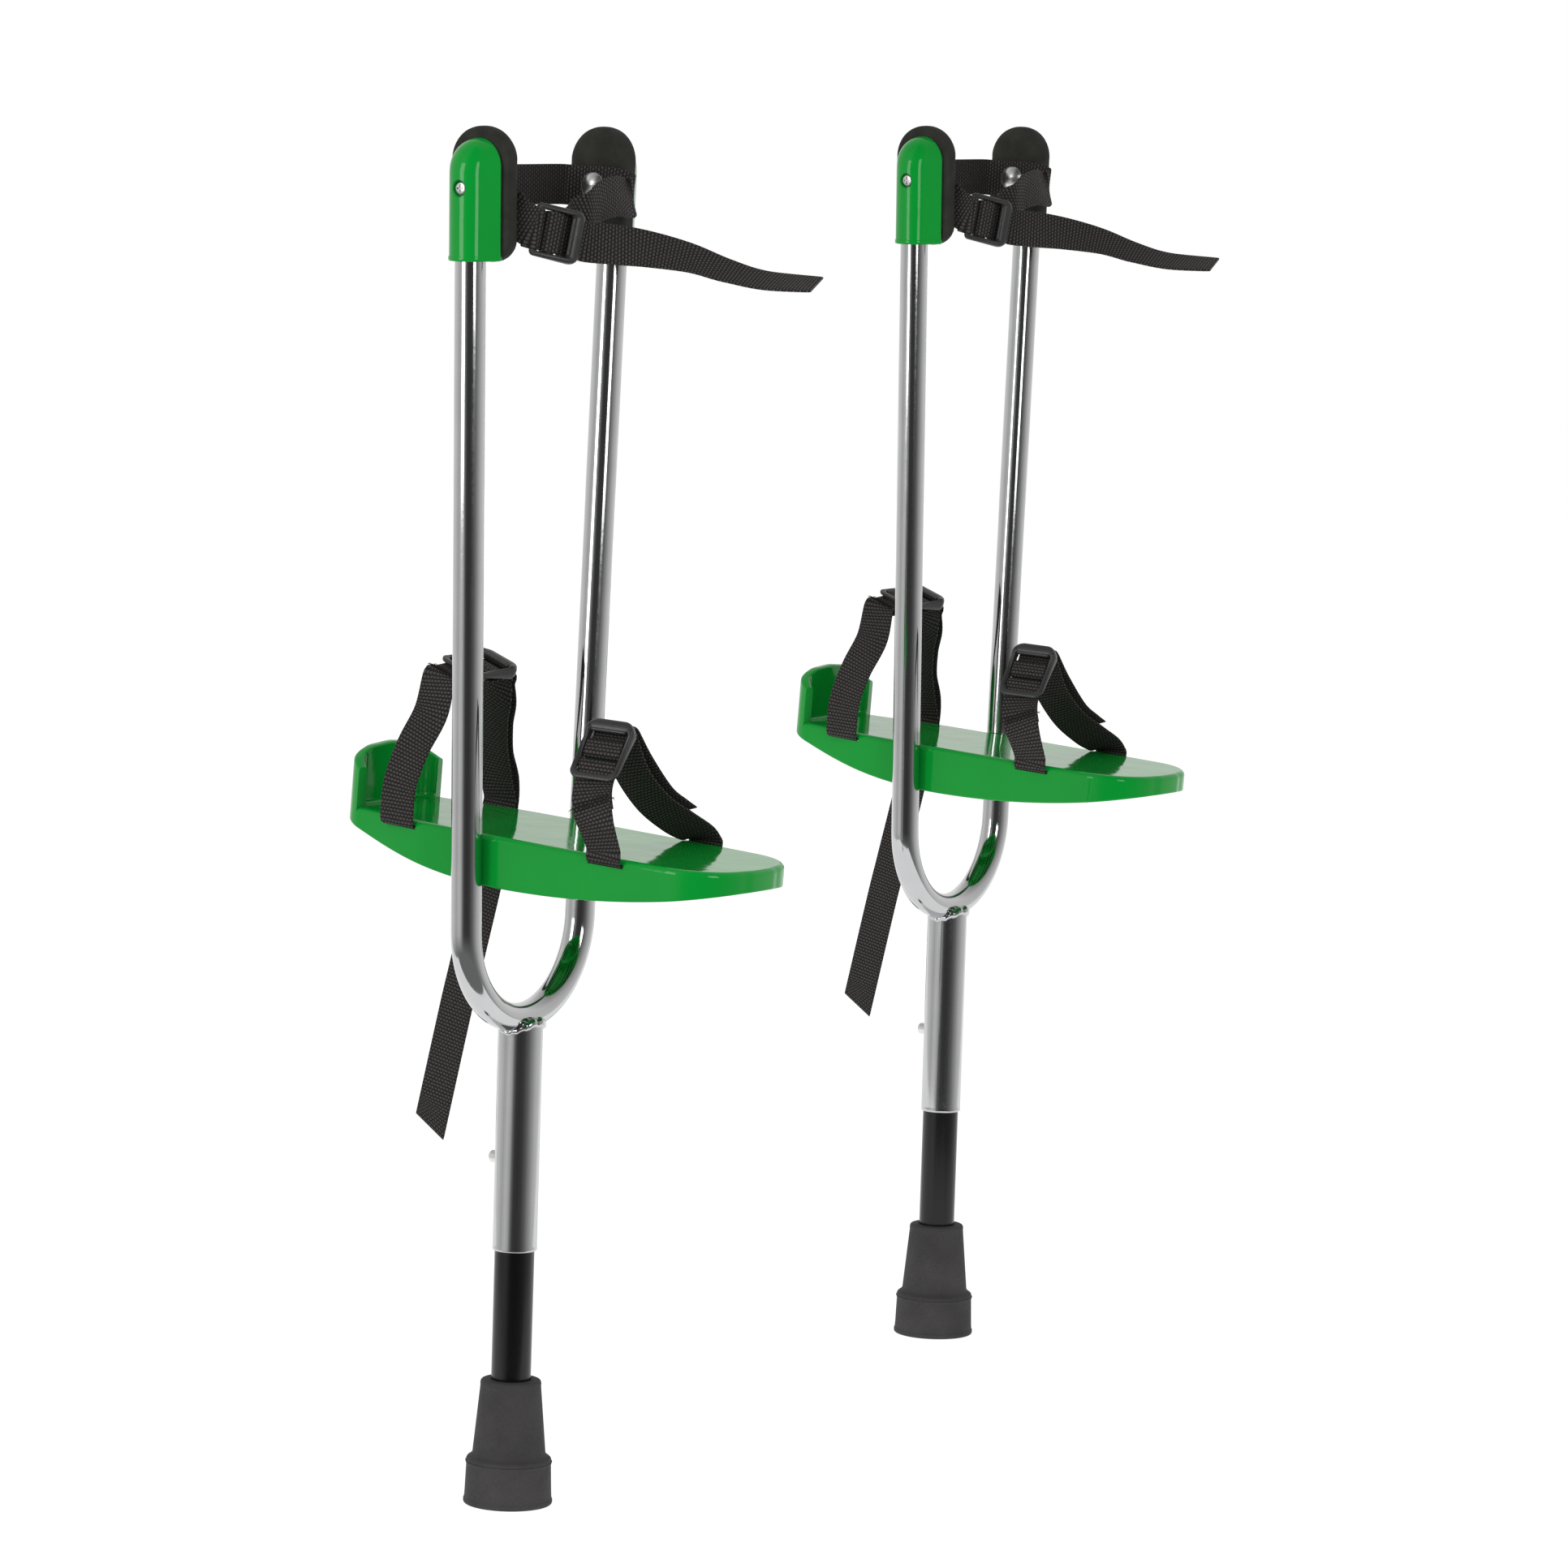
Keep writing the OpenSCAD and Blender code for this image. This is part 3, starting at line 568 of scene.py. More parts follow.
def washer_shape(s):
    """The steel washer under the peg."""
    out = s.peg_d / 2 - 0.2
    hole = 4
    low = s.foot_floor + 0.01
    high = s.foot_floor + s.washer_t
    corners = [(out, low), (out, high), (hole, high), (hole, low)]
    return lathe(soften([(r, z, 0.3) for r, z in corners]), 64, closed=True)


def clip_shape(s):
    """The spring button: its round head with a flange, on a V-shaped leaf."""
    bore = s.peg_d / 2 - s.peg_wall
    r = s.button_d / 2
    flange = r + 1.2
    seat = 0.3 - math.sqrt(bore ** 2 - flange ** 2)
    reach = s.stem_d / 2 + s.button_out
    leaf_t = 0.8
    leaf_w = 8
    profile = soften([(0.02, reach, 0), (r, reach, 2.0), (r, -seat, 0.2), (flange, -seat, 0.3),
                      (flange, -seat - 1.2, 0.3), (0.02, -seat - 1.2, 0)], 6)
    points, faces = lathe(profile, 48, closed=True)
    head = np.stack([-points[:, 2], points[:, 0], s.button_z + points[:, 1]], axis=1), faces
    front = seat + 1.0
    back = math.sqrt(bore ** 2 - (leaf_w / 2) ** 2) - 0.1
    outline = soften([(front, 6, 0), (front + leaf_t, 6, 0), (front + leaf_t, -6, 3),
                      (back - leaf_t - 1, -46, 1), (back - leaf_t, -40, 3), (back - leaf_t, 8, 0),
                      (back, 8, 0), (back, -41, 3), (back - 1, -48, 1.2), (back - 2.5, -48, 0.8),
                      (front, -7, 3)])
    rings = [np.stack([outline[:, 0], np.full(len(outline), y), s.button_z + outline[:, 1]], axis=1)
             for y in np.linspace(-leaf_w / 2, leaf_w / 2, 5)]
    return joined([head, loft(rings)])


def wall_depth(s, x):
    """Depth of the plate's side wall along it, which is deepest a little in front of the fork."""
    deepest = 20
    heel = s.wall_mid - (s.wall_mid - s.wall_heel) * ((deepest - x) / (deepest + s.plate_back)) ** 2
    toe = s.wall_mid - (s.wall_mid - s.wall_toe) * ((x - deepest) / (s.plate_front - deepest)) ** 2
    return np.where(x < deepest, heel, toe)


def plate_outline(s):
    """The plate's outline at even steps, and the direction inwards at each point."""
    count = 420
    half = s.plate_half
    toe_half = half - 2
    toe_x = s.plate_front - 2 - s.toe_r
    toe_y = toe_half - s.toe_r
    heel_x = s.heel_r - s.plate_back
    heel_y = s.heel_half - s.heel_r
    sag = toe_y ** 2 / 240
    near = []
    for a in np.radians(np.linspace(180, 270, 16)):
        near.append((heel_x + s.heel_r * math.cos(a), -heel_y + s.heel_r * math.sin(a)))
    knots = np.array([(heel_x - 20, -s.heel_half + 1.5), (heel_x, -s.heel_half), (-45, 1.6 - half),
                      (0, -half), (40, -half), (90, 0.4 - half), (toe_x, -toe_half),
                      (toe_x + 20, -toe_half + 2)])
    near += [tuple(p) for p in smooth_rows(knots, 10)[11:-11]]
    for a in np.radians(np.linspace(-90, -6, 22)):
        near.append((toe_x + s.toe_r * math.cos(a), -toe_y + s.toe_r * math.sin(a)))
    near += [(s.plate_front - sag * (i / 6) ** 2, -toe_y * i / 6) for i in (5, 4, 3, 2, 1)]
    far = [(x, -y) for x, y in reversed(near)]
    loop = np.array(near + [(s.plate_front, 0.0)] + far)
    loop = np.concatenate([loop, loop[:1]])
    run = run_of(loop)
    even = np.linspace(0, run[-1], count + 1)[:-1]
    points = np.stack([np.interp(even, run, loop[:, k]) for k in (0, 1)], axis=1)
    path = np.roll(points, -2, axis=0) - np.roll(points, 2, axis=0)
    path /= np.linalg.norm(path, axis=1)[:, None]
    return points, np.stack([-path[:, 1], path[:, 0]], axis=1)


def plate_half_at(s, x):
    """Half width of the plate at x."""
    points, _ = plate_outline(s)
    side = points[points[:, 1] > 0]
    side = side[np.argsort(side[:, 0])]
    return float(np.interp(x, side[:, 0], side[:, 1]))


def plate_shell(s):
    """The deck and the side wall, with rounded edges, as one skin."""
    points, inwards = plate_outline(s)
    depth = wall_depth(s, points[:, 0])
    under = -s.deck_t * np.ones(len(points))
    t = s.wall_t
    rows = []
    for a in np.radians(np.linspace(0, 90, 8)):
        rows.append((s.edge_r * (1 - math.sin(a)), np.full(len(points), s.edge_r * (math.cos(a) - 1))))
    rows += [(0.0, -0.6 * depth), (0.0, 1.3 - depth), (0.12, 0.7 - depth), (0.45, 0.2 - depth),
             (1.1, -depth), (t - 0.9, -depth), (t - 0.2, 0.3 - depth), (t, 1.1 - depth),
             (t, under - 2.4), (t + 0.25, under - 1.2), (t + 0.9, under - 0.35), (t + 2.4, under)]
    return loft([np.column_stack([points + inset * inwards, z]) for inset, z in rows])


def plate_ribs(s):
    """The ribs under the deck, whose lower edges follow the wall's."""
    into = 0.8
    short = 6
    h = s.rib_t / 2
    top = -s.deck_t + into
    shapes = []
    for x in (-30, 30, 62, 132):
        half = plate_half_at(s, x) - s.wall_t + into
        low = short - float(wall_depth(s, np.array(float(x))))
        shapes.append(block((x - h, -half, low), (x + h, half, top)))
    rings = []
    for x in np.linspace(s.wall_t - s.plate_back - into, s.plate_front - s.wall_t + into, 40):
        low = min(short - float(wall_depth(s, x)), top - 0.6)
        rings.append(np.array([(x, -h, low), (x, h, low), (x, h, top), (x, -h, top)]))
    shapes.append(loft(rings))
    return joined(shapes)


def heel_stop_shape(s):
    """The crowned heel stop on the plate's rear edge, with a fillet to the deck."""
    points, inwards = plate_outline(s)
    order = np.argsort(np.arctan2(points[:, 1], -points[:, 0]))
    order = [i for i in order if points[i, 0] <= 14 - s.plate_back]
    half = s.heel_half + 1
    shoulder = s.stop_h - 7
    corner = 12
    joint = math.radians(72)
    y = np.abs(points[order, 1])
    crown = np.interp(y, [0, 0.45 * half, half - corner + corner * math.cos(joint)],
                      [s.stop_h, s.stop_h - 1.6, shoulder - corner + corner * math.sin(joint)])
    aside = np.clip(y - half + corner, 0, corner)
    bend = shoulder - corner + np.sqrt(np.clip(corner ** 2 - aside ** 2, 0, None))
    height = np.minimum(crown, np.where(y > half - 8.3, bend, crown))
    for _ in range(4):
        height[1:-1] = 0.25 * height[:-2] + 0.5 * height[1:-1] + 0.25 * height[2:]
    rings = []
    t = s.stop_t
    for h, i in zip(height, order):
        section = [(0.02, -s.edge_r - 1.5), (0.02, h - 2.6), (0.3, h - 1.2), (1.1, h - 0.35), (2.4, h),
                   (t - 2.5, h), (t - 1.3, h - 0.35), (t - 0.55, h - 1.2), (t - 0.3, h - 2.6), (t, 3.0),
                   (t + 0.5, 1.2), (t + 1.4, 0.3), (t + 3.0, -0.1), (t + 3.0, -1.2), (s.edge_r, -1.4)]
        rings.append(np.array([np.append(points[i] + inset * inwards[i], z) for inset, z in section]))
    return loft(rings)


def plate_piece(s):
    """The foot plate: shell, ribs and heel stop, less the webbing slots and the tubes' hollows."""
    piece = make("plate", on_plate(s, plate_shell(s)), 30)
    carve(piece, on_plate(s, plate_ribs(s)), "UNION", 30)
    carve(piece, on_plate(s, heel_stop_shape(s)), "UNION", 30)
    cuts = []
    slot = (s.web_t + 2 * s.web_gap) / 2
    wide = s.window / 2
    for x in (-s.ankle_slot, s.toe_slot):
        for sign in LEGS:
            inner = min(plate_half_at(s, x - wide), plate_half_at(s, x + wide)) - s.wall_t - 4
            ends = sorted((sign * inner, sign * (s.plate_half + 4)))
            cuts.append(on_plate(s, block((x - wide, ends[0], -s.slot_down - slot),
                                          (x + wide, ends[1], -s.slot_down + slot))))
    hollow = s.tube_r + 0.03
    low = s.deck_z - s.foot_z - 1.5 * s.wall_mid
    for leg in LEGS:
        cuts.append(on_leg(s, leg, lathe([(hollow, low), (hollow, low + 2 * s.wall_mid)], 64)))
    carve(piece, joined(cuts), sharp=30)
    return even_shading(piece)


def cross_head(r, height):
    """A screw head with a cross recess, its axis along Z."""
    shares = ((1, 0), (1, 0.45), (0.93, 0.72), (0.7, 0.92), (0.3, 1))
    piece = make("screw", lathe([(wide * r, high * height) for wide, high in shares], 48))
    arm = 0.58 * r
    half = 0.13 * r
    low = 0.35 * height
    carve(piece, block((-arm, -half, low), (arm, half, 2 * height)))
    carve(piece, block((-half, -arm, low), (half, arm, 2 * height)))
    mesh = piece.data
    points = np.array([v.co for v in mesh.vertices]) / MM
    faces = [tuple(face.vertices) for face in mesh.polygons]
    bpy.data.objects.remove(piece)
    bpy.data.meshes.remove(mesh)
    return points, faces


def cap_piece(s, leg):
    """A cap: round in front, flat behind, with a domed top, a lip at its foot and a recess for the screw."""
    corner = 2.2
    section = round_outline([(0, 0, s.cap_r), (s.cap_half - corner, corner - s.cap_back, corner),
                             (corner - s.cap_half, corner - s.cap_back, corner)], 96)
    straight = s.cap_len - s.dome_h - 6
    rings = []
    for z, swell in ((0, 0.985), (0.25, 1.02), (1.0, 1.035), (2.2, 1.035), (2.9, 1.02), (3.3, 1.0),
                     (14, 1.0), (28, 1.0), (straight, 1.0)):
        rings.append(np.column_stack([section * swell, np.full(len(section), z)]))
    for a in np.radians(np.linspace(0, 87, 22)):
        z = s.cap_len - s.dome_h * (1 - math.sin(a))
        over = max(z - s.cap_len + s.cap_half, 0)
        width = math.sqrt(max(s.cap_half ** 2 - over ** 2, 0.01)) / s.cap_half
        deep = (section[:, 1] + s.cap_back) * math.cos(a) - s.cap_back
        rings.append(np.column_stack([section[:, 0] * width, deep, np.full(len(section), z)]))
    points, faces = loft(rings)
    piece = make("cap", on_leg(s, leg, (points + [0, 0, s.cap_z], faces)), 45)
    steps = ((4.7, -4.0), (4.7, -1.4), (5.2, -0.4), (6.4, 3))
    recess = lathe([(r, s.cap_r + out) for r, out in steps], 56)
    carve(piece, on_leg(s, leg, outwards(recess, s.fix_z)), sharp=38)
    return even_shading(piece)


def pad_shape(s, leg):
    """A foam knee pad: crowned edges, drawn in where the webbing runs across it."""
    lower = 14
    full = 14
    circles = [(0, s.pad_h - s.pad_w / 2, s.pad_w / 2), (s.pad_w / 2 - lower, lower, lower),
               (lower - s.pad_w / 2, lower, lower)]
    band = s.fix_z - s.cap_z + 1
    rows = [(2.6, 0), (1.2, 0.25), (0.3, 1.3), (0.0, 3.2), (0.0, 6.5), (0.15, 8.5), (0.6, 10.3), (1.5, 11.9),
            (2.9, 13.1), (4.8, 13.8), (7.5, full), (11.0, 13.9)]
    rings = []
    for inset, deep in rows:
        outline = round_outline([(x, z, r - inset) for x, z, r in circles], 120)
        strap = np.exp(-((outline[:, 1] - band) / 13.5) ** 6)
        pull = strap * 1.6 * ease(deep, 5, 12)
        x = outline[:, 0] - np.sign(outline[:, 0]) * np.minimum(pull, np.abs(outline[:, 0]))
        soft = 0.18 * np.sin(0.31 * outline[:, 1] + deep) * ease(deep, 1, 5)
        depth = deep * s.pad_t / full
        rings.append(np.column_stack([x + soft * 0.4, np.full(len(x), -s.cap_back - depth), outline[:, 1]]))
    points, faces = loft(rings)
    return on_leg(s, leg, (points + [0, 0, s.cap_z - 1], faces))


def nut_shape(s, leg):
    """A domed nut on the webbing, with its barrel behind it."""
    ball = 0.62 * s.dome_d
    centre = 0.36 * s.dome_d
    face = s.pad_web - s.web_t / 2 - 0.1
    rim = s.dome_d / 2
    profile = [(3.4, 12.0), (3.5, 0.4), (rim - 0.5, 0.05), (rim - 0.05, -0.3), (rim - 0.05, -0.75)]
    top = math.asin(rim / ball) * 0.985
    for a in np.linspace(top, 0.02, 12):
        profile.append((ball * math.sin(a), centre - ball * math.cos(a)))
    points, faces = lathe(profile, 64)
    return on_leg(s, leg, outwards((points + [0, 0, face], faces), s.fix_z))


def smooth_rows(rows, steps):
    """A smooth curve through rows of numbers, with steps from each row to the next."""
    rows = np.asarray(rows, float)
    last = len(rows) - 1
    result = []
    for i in range(last):
        a, b, c, d = rows[max(i - 1, 0)], rows[i], rows[i + 1], rows[min(i + 2, last)]
        for k in range(steps):
            t = k / steps
            result.append((2 * b + (c - a) * t + (2 * a - 5 * b + 4 * c - d) * t ** 2
                           + (3 * b - a - 3 * c + d) * t ** 3) / 2)
    result.append(rows[last])
    return np.array(result)


def axes(origin, along, across):
    """A buckle's own axes: its place, along the strap, outwards and across."""
    a = unit(along)
    across = np.asarray(across, float)
    c = unit(across - across.dot(a) * a)
    return np.asarray(origin, float), a, np.cross(c, a), c


def in_axes(f, places, bow=0.0):
    """Rows of a route from places along and out of a buckle. Its sewn end bows sideways by bow."""
    bow_from = -20
    bow_over = 25
    rows = []
    for u, v, *shift in places:
        aside = bow * max((bow_from - u) / bow_over, 0) ** 2 + sum(shift)
        rows.append(np.concatenate([f[0] + u * f[1] + v * f[2] + aside * f[3], f[3]]))
    return rows


def buckle_places(s):
    """The axes of each strap's buckle."""
    return {
        "toe": axes([83, -36, s.deck_z + 59], [-0.03, 0.55, 0.85], [0.985, 0.17, 0]),
        "ankle": axes([-37, 2, s.deck_z + 96], [0.18, 0.95, 0.12], [1, 0, -0.3]),
        "knee": axes([32, -32, s.knee_up - 26.6], [0.45, 0.86, -0.2], [0.1, 0.1, -1]),
    }


def sewn_loop(s, start):
    """Places of the webbing's sewn end round a buckle's bar."""
    ply = s.web_t + PLY_GAP
    loop = BAR_R + PLY_GAP + s.web_t / 2
    places = [(u, -ply / 2) for u in np.arange(start, -20.9, 8)]
    places.append((-17.5, 0.9 - loop))
    for a in np.radians(np.arange(-90, 91, 30)):
        places.append((loop * math.cos(a) - BAR_U, loop * math.sin(a)))
    places.append((-17.5, loop - 0.9))
    return places + [(u, ply / 2) for u in np.arange(-22, start - 0.1, -8)]


def threaded(s, turned):
    """Places of the webbing up through a buckle, over its bridge and back under its lip."""
    main = -HALF_BAR - PLY_GAP - s.web_t - PLY_GAP - s.web_t / 2
    tail = -HALF_BAR - PLY_GAP - s.web_t / 2
    over = HALF_BAR + PLY_GAP + s.web_t / 2
    bridge = [(-4.6, main), (-7.0, main + 0.7), (-7.9, main + 2.6), (-7.9, 0.3), (-7.1, over - 0.8),
              (-5.0, over), (-2, over), (0.8, over), (2.6, over - 0.8), (3.3, 0.3), (3.7, tail + 0.8),
              (5.5, tail), (9, tail), (12.5, tail)]
    if turned:
        start = [(14.3, main - 6), (14.5, main - 2.4), (13.4, main - 0.5), (11, main), (7.5, main),
                 (2, main)]
        end = [(15.4, tail - 0.3), (17.2, tail - 1.7), (17.8, tail - 4.6), (17.3, tail - 9)]
    else:
        start = [(24, main - 2.5, -19), (17, main - 2.3, -13), (13.5, main - 1.1, -9.5), (11, main, -7),
                 (7.5, main, -4), (2, main, -1)]
        end = [(18, tail), (24, tail + 0.6)]
    return start + bridge + end


def under_plate(s, x):
    """Rows of the webbing down outside the wall, in through its slot, under the deck and out again."""
    slack = 1.2
    wide = s.web_w / 2
    out = max(plate_half_at(s, x - wide), plate_half_at(s, x + wide)) + s.web_t + slack
    half = [(0, 9), (0.1, 4.5), (0.8, 1.8), (2.4, 0.2), (5, 0), (10, 0), (30, 0)]
    places = [(x, y - out, z - s.slot_down) for y, z in half]
    places += [(x, out - y, z - s.slot_down) for y, z in reversed(half)]
    points, _ = on_plate(s, (np.array(places, float), []))
    across = [math.cos(s.deck_pitch), 0, -math.sin(s.deck_pitch)]
    return [np.concatenate([point, across]) for point in points]


def on_pad(s, leg, places):
    """Rows of the webbing across a knee pad's face."""
    points, _ = on_leg(s, leg, (np.array(places, float), []))
    across = [0, -leg * math.sin(s.splay), -math.cos(s.splay)]
    return [np.concatenate([point, across]) for point in points]


def raised(rows, z):
    """Free rows of a route, lifted to the height of what they hang from."""
    return [np.array(row, float) + [0, 0, z, 0, 0, 0] for row in rows]


def toe_route(s, buckle):
    """Rows of the toe strap from its sewn end to its tail."""
    near = [[94, -60.6, 15, 1, 0.1, 0]]
    far = [[97, 55.2, -5, 1, 0, 0.05], [97.2, 52, -2.4, 0.98, 0, 0.16], [96.5, 45, 1, 0.9, 0.05, 0.42],
           [93, 29, 9, 0.86, 0.1, 0.5], [88, 9, 22, 0.93, 0.15, 0.33], [83.5, -9, 42, 1, 0.2, 0.05]]
    tail = [[84, -7, 50, 1, 0.2, 0.05], [89, 10, 27.5, 0.93, 0.15, 0.33], [92.5, 24, 17, 0.87, 0.1, 0.48],
            [94.5, 32, 12.5, 0.86, 0, 0.5]]
    return (in_axes(buckle, sewn_loop(s, -45), 7.0) + raised(near, s.deck_z)
            + under_plate(s, s.toe_slot)[:-2] + raised(far, s.deck_z)
            + in_axes(buckle, threaded(s, True)) + raised(tail, s.deck_z))


def ankle_route(s, buckle):
    """Rows of the ankle strap from its sewn end to the tail that hangs beside the plate."""
    near = [[-44, -43, 70, 1, 0, -0.3], [-52, -50, 48, 1, 0, -0.2], [-58, -54, 26, 1, 0, -0.1]]
    far = [[-60, 49.5, 24, 1, 0, 0], [-55.5, 37.5, 45, 1, 0, 0], [-47.5, 26, 64, 1, 0, 0],
           [-39.5, 19, 78, 1, 0, -0.2]]
    tail = [[-40, 24.5, 75, 1, 0, -0.1], [-48, 32, 60, 1, 0, 0], [-56.5, 45, 41, 1, 0, 0],
            [-60, 58, 20, 1, 0, 0], [-64, 62, -4, 1, 0, 0], [-75, 62, -52, 1, 0, -0.1],
            [-87, 61, -103, 1, 0, -0.2], [-94, 60, -134, 1, 0, -0.2], [-111, 58, -214, 1, 0, -0.3]]
    return (in_axes(buckle, sewn_loop(s, -38)) + raised(near, s.deck_z)
            + under_plate(s, -s.ankle_slot) + raised(far, s.deck_z)
            + in_axes(buckle, threaded(s, True)) + raised(tail, s.deck_z))


def knee_route(s, buckle):
    """Rows of the knee strap from its sewn end, over both pads and through its buckle, to its tail."""
    web = s.pad_web
    up = s.fix_z
    start = [[18.5, 1.8 - s.knee_y, -17.6, -0.1, 0, -1]]
    near = [(12, web - 0.2, up - 12), (4, web, up - 6.5), (-4, web, up - 2), (-10, web - 0.2, up - 0.5),
            (-16, web - 3, up), (-19, web - 12, up)]
    back = [[-20, 0, 1, 0, 0, -1]]
    far = [(-19, web - 12, up), (-16, web - 3, up), (-9, web, up), (0, web, up), (9, web, up),
           (19, web - 0.8, up - 1), (28.5, web - 1.4, up - 3.5), (32.5, web - 4.5, up - 5)]
    front = [[33.5, s.knee_y - 10.3, -5.6, 0.2, 0, -1], [36, 27, -4, 0.1, 0, -1], [37, 9, -6.5, 0, -0.1, -1]]
    tail = [[49, 2, -32.6, 0.1, -0.1, -1], [62, 19, -34.6, 0.2, -0.4, -0.9],
            [85, 35, -39.6, 0.4, -0.6, -0.7], [106, 45, -46.6, 0.4, -0.7, -0.5],
            [130, 52, -51.6, 0.5, -0.8, -0.4], [165, 58, -52.6, 0.5, -0.8, -0.3]]
    return (in_axes(buckle, sewn_loop(s, -21)) + raised(start, s.knee_up) + on_pad(s, -1, near)
            + raised(back, s.knee_up) + on_pad(s, 1, far) + raised(front, s.knee_up)
            + in_axes(buckle, threaded(s, False)) + raised(tail, s.knee_up))


def strap_rows(s, rows):
    """Even rows along a strap: place, direction along, across and out of it, and the length so far."""
    fine = smooth_rows(rows, 12)
    run = run_of(fine[:, :3])
    even = np.linspace(0, run[-1], int(run[-1] / s.web_step) + 1)
    fine = np.stack([np.interp(even, run, fine[:, k]) for k in range(6)], axis=1)
    place = fine[:, :3]
    along = np.gradient(place, axis=0)
    along /= np.linalg.norm(along, axis=1)[:, None]
    across = fine[:, 3:] - np.sum(fine[:, 3:] * along, axis=1)[:, None] * along
    across /= np.linalg.norm(across, axis=1)[:, None]
    out = np.cross(along, across)
    return SimpleNamespace(place=place, along=along, across=across, out=out, run=even)


def strap_piece(s, name, strap, cut):
    """Webbing along the rows of a strap, with thin selvedges and an end cut aslant by cut."""
    columns = np.array([-1, -0.97, -0.9, -0.7, -0.45, -0.2, 0, 0.2, 0.45, 0.7, 0.9, 0.97, 1])
    thick = np.where(np.abs(columns) > 0.99, 0.35, np.where(np.abs(columns) > 0.95, 0.8, 1.0))
    ring_u = np.concatenate([columns, columns[-2:0:-1]])
    ring_v = np.concatenate([thick, -thick[-2:0:-1]])
    total = strap.run[-1]
    slanted = 26
    sealed = 1.6
    rings = []
    uv = []
    for i, run in enumerate(strap.run):
        slant = cut * ease(run, total - slanted, total)
        seal = 1 - 0.25 * ease(run, total - sealed, total)
        ring = (strap.place[i] + np.outer(ring_u * s.web_w / 2, strap.across[i])
                + np.outer(ring_v * seal * s.web_t / 2, strap.out[i])
                + np.outer(ring_u * slant - abs(slant), strap.along[i]))
        rings.append(ring)
        uv.append(np.column_stack([(ring_u + 1) / 2, np.full(len(ring_u), run / s.web_w)]))
    piece = make(name, loft(rings), 50)
    uv = np.concatenate(uv)
    corners = np.zeros(len(piece.data.loops), dtype=np.int32)
    piece.data.loops.foreach_get("vertex_index", corners)
    layer = piece.data.uv_layers.new(name="webbing")
    layer.data.foreach_set("uv", uv[corners].astype(np.float32).ravel())
    return piece


def seam_shape(s, strap, buckle, at, ends):
    """A dense bar of stitches across a sewn end, with loose thread ends at the webbing's edges."""
    first_ply = 45
    edge = 10.9
    pitch = 1.52
    stagger = 0.7
    proud = 0.08
    loose = 3.2
    target = buckle[0] + at * buckle[1] + (s.web_t + PLY_GAP) / 2 * buckle[2]
    away = np.linalg.norm(strap.place - target, axis=1)
    away[strap.run < first_ply] = np.inf
    row = int(away.argmin())
    place = strap.place[row]
    along = strap.along[row]
    across = strap.across[row]
    out = strap.out[row] * np.sign(strap.out[row].dot(buckle[2]))
    shapes = []
    for line, shift in enumerate((-2.2, -0.75, 0.75, 2.2)):
        for k in range(15):
            u = -edge + pitch * k + (stagger if line % 2 else 0)
            centre = place + shift * along + u * across + (s.web_t / 2 + proud) * out
            lean = along * 0.9 + across * (0.5 if (line + k) % 2 else -0.5)
            shapes.append(bead(centre, lean, radius=0.3, half=0.95))
    for k, (u, lift, droop) in enumerate(ends):
        start = place + u * across + 0.3 * out
        side = across * math.copysign(1, u)
        points = []
        for t in np.linspace(0, 1, 9):
            curl = 0.5 * math.sin(5 * t + k)
            hang = np.array([0, 0, -droop]) * t * t
            points.append(start + side * loose * t + out * (lift * t + curl * t) + hang)
        shapes.append(strand(points, radius=0.22))
    return joined(shapes)


def squared_ring(half_a, half_b, power=0.62):
    """A ring between an ellipse and a rectangle, for a moulded section."""
    a = turn(20)
    sides = [half * np.sign(wave) * np.abs(wave) ** power
             for half, wave in ((half_a, np.cos(a)), (half_b, np.sin(a)))]
    return np.stack(sides, axis=1)


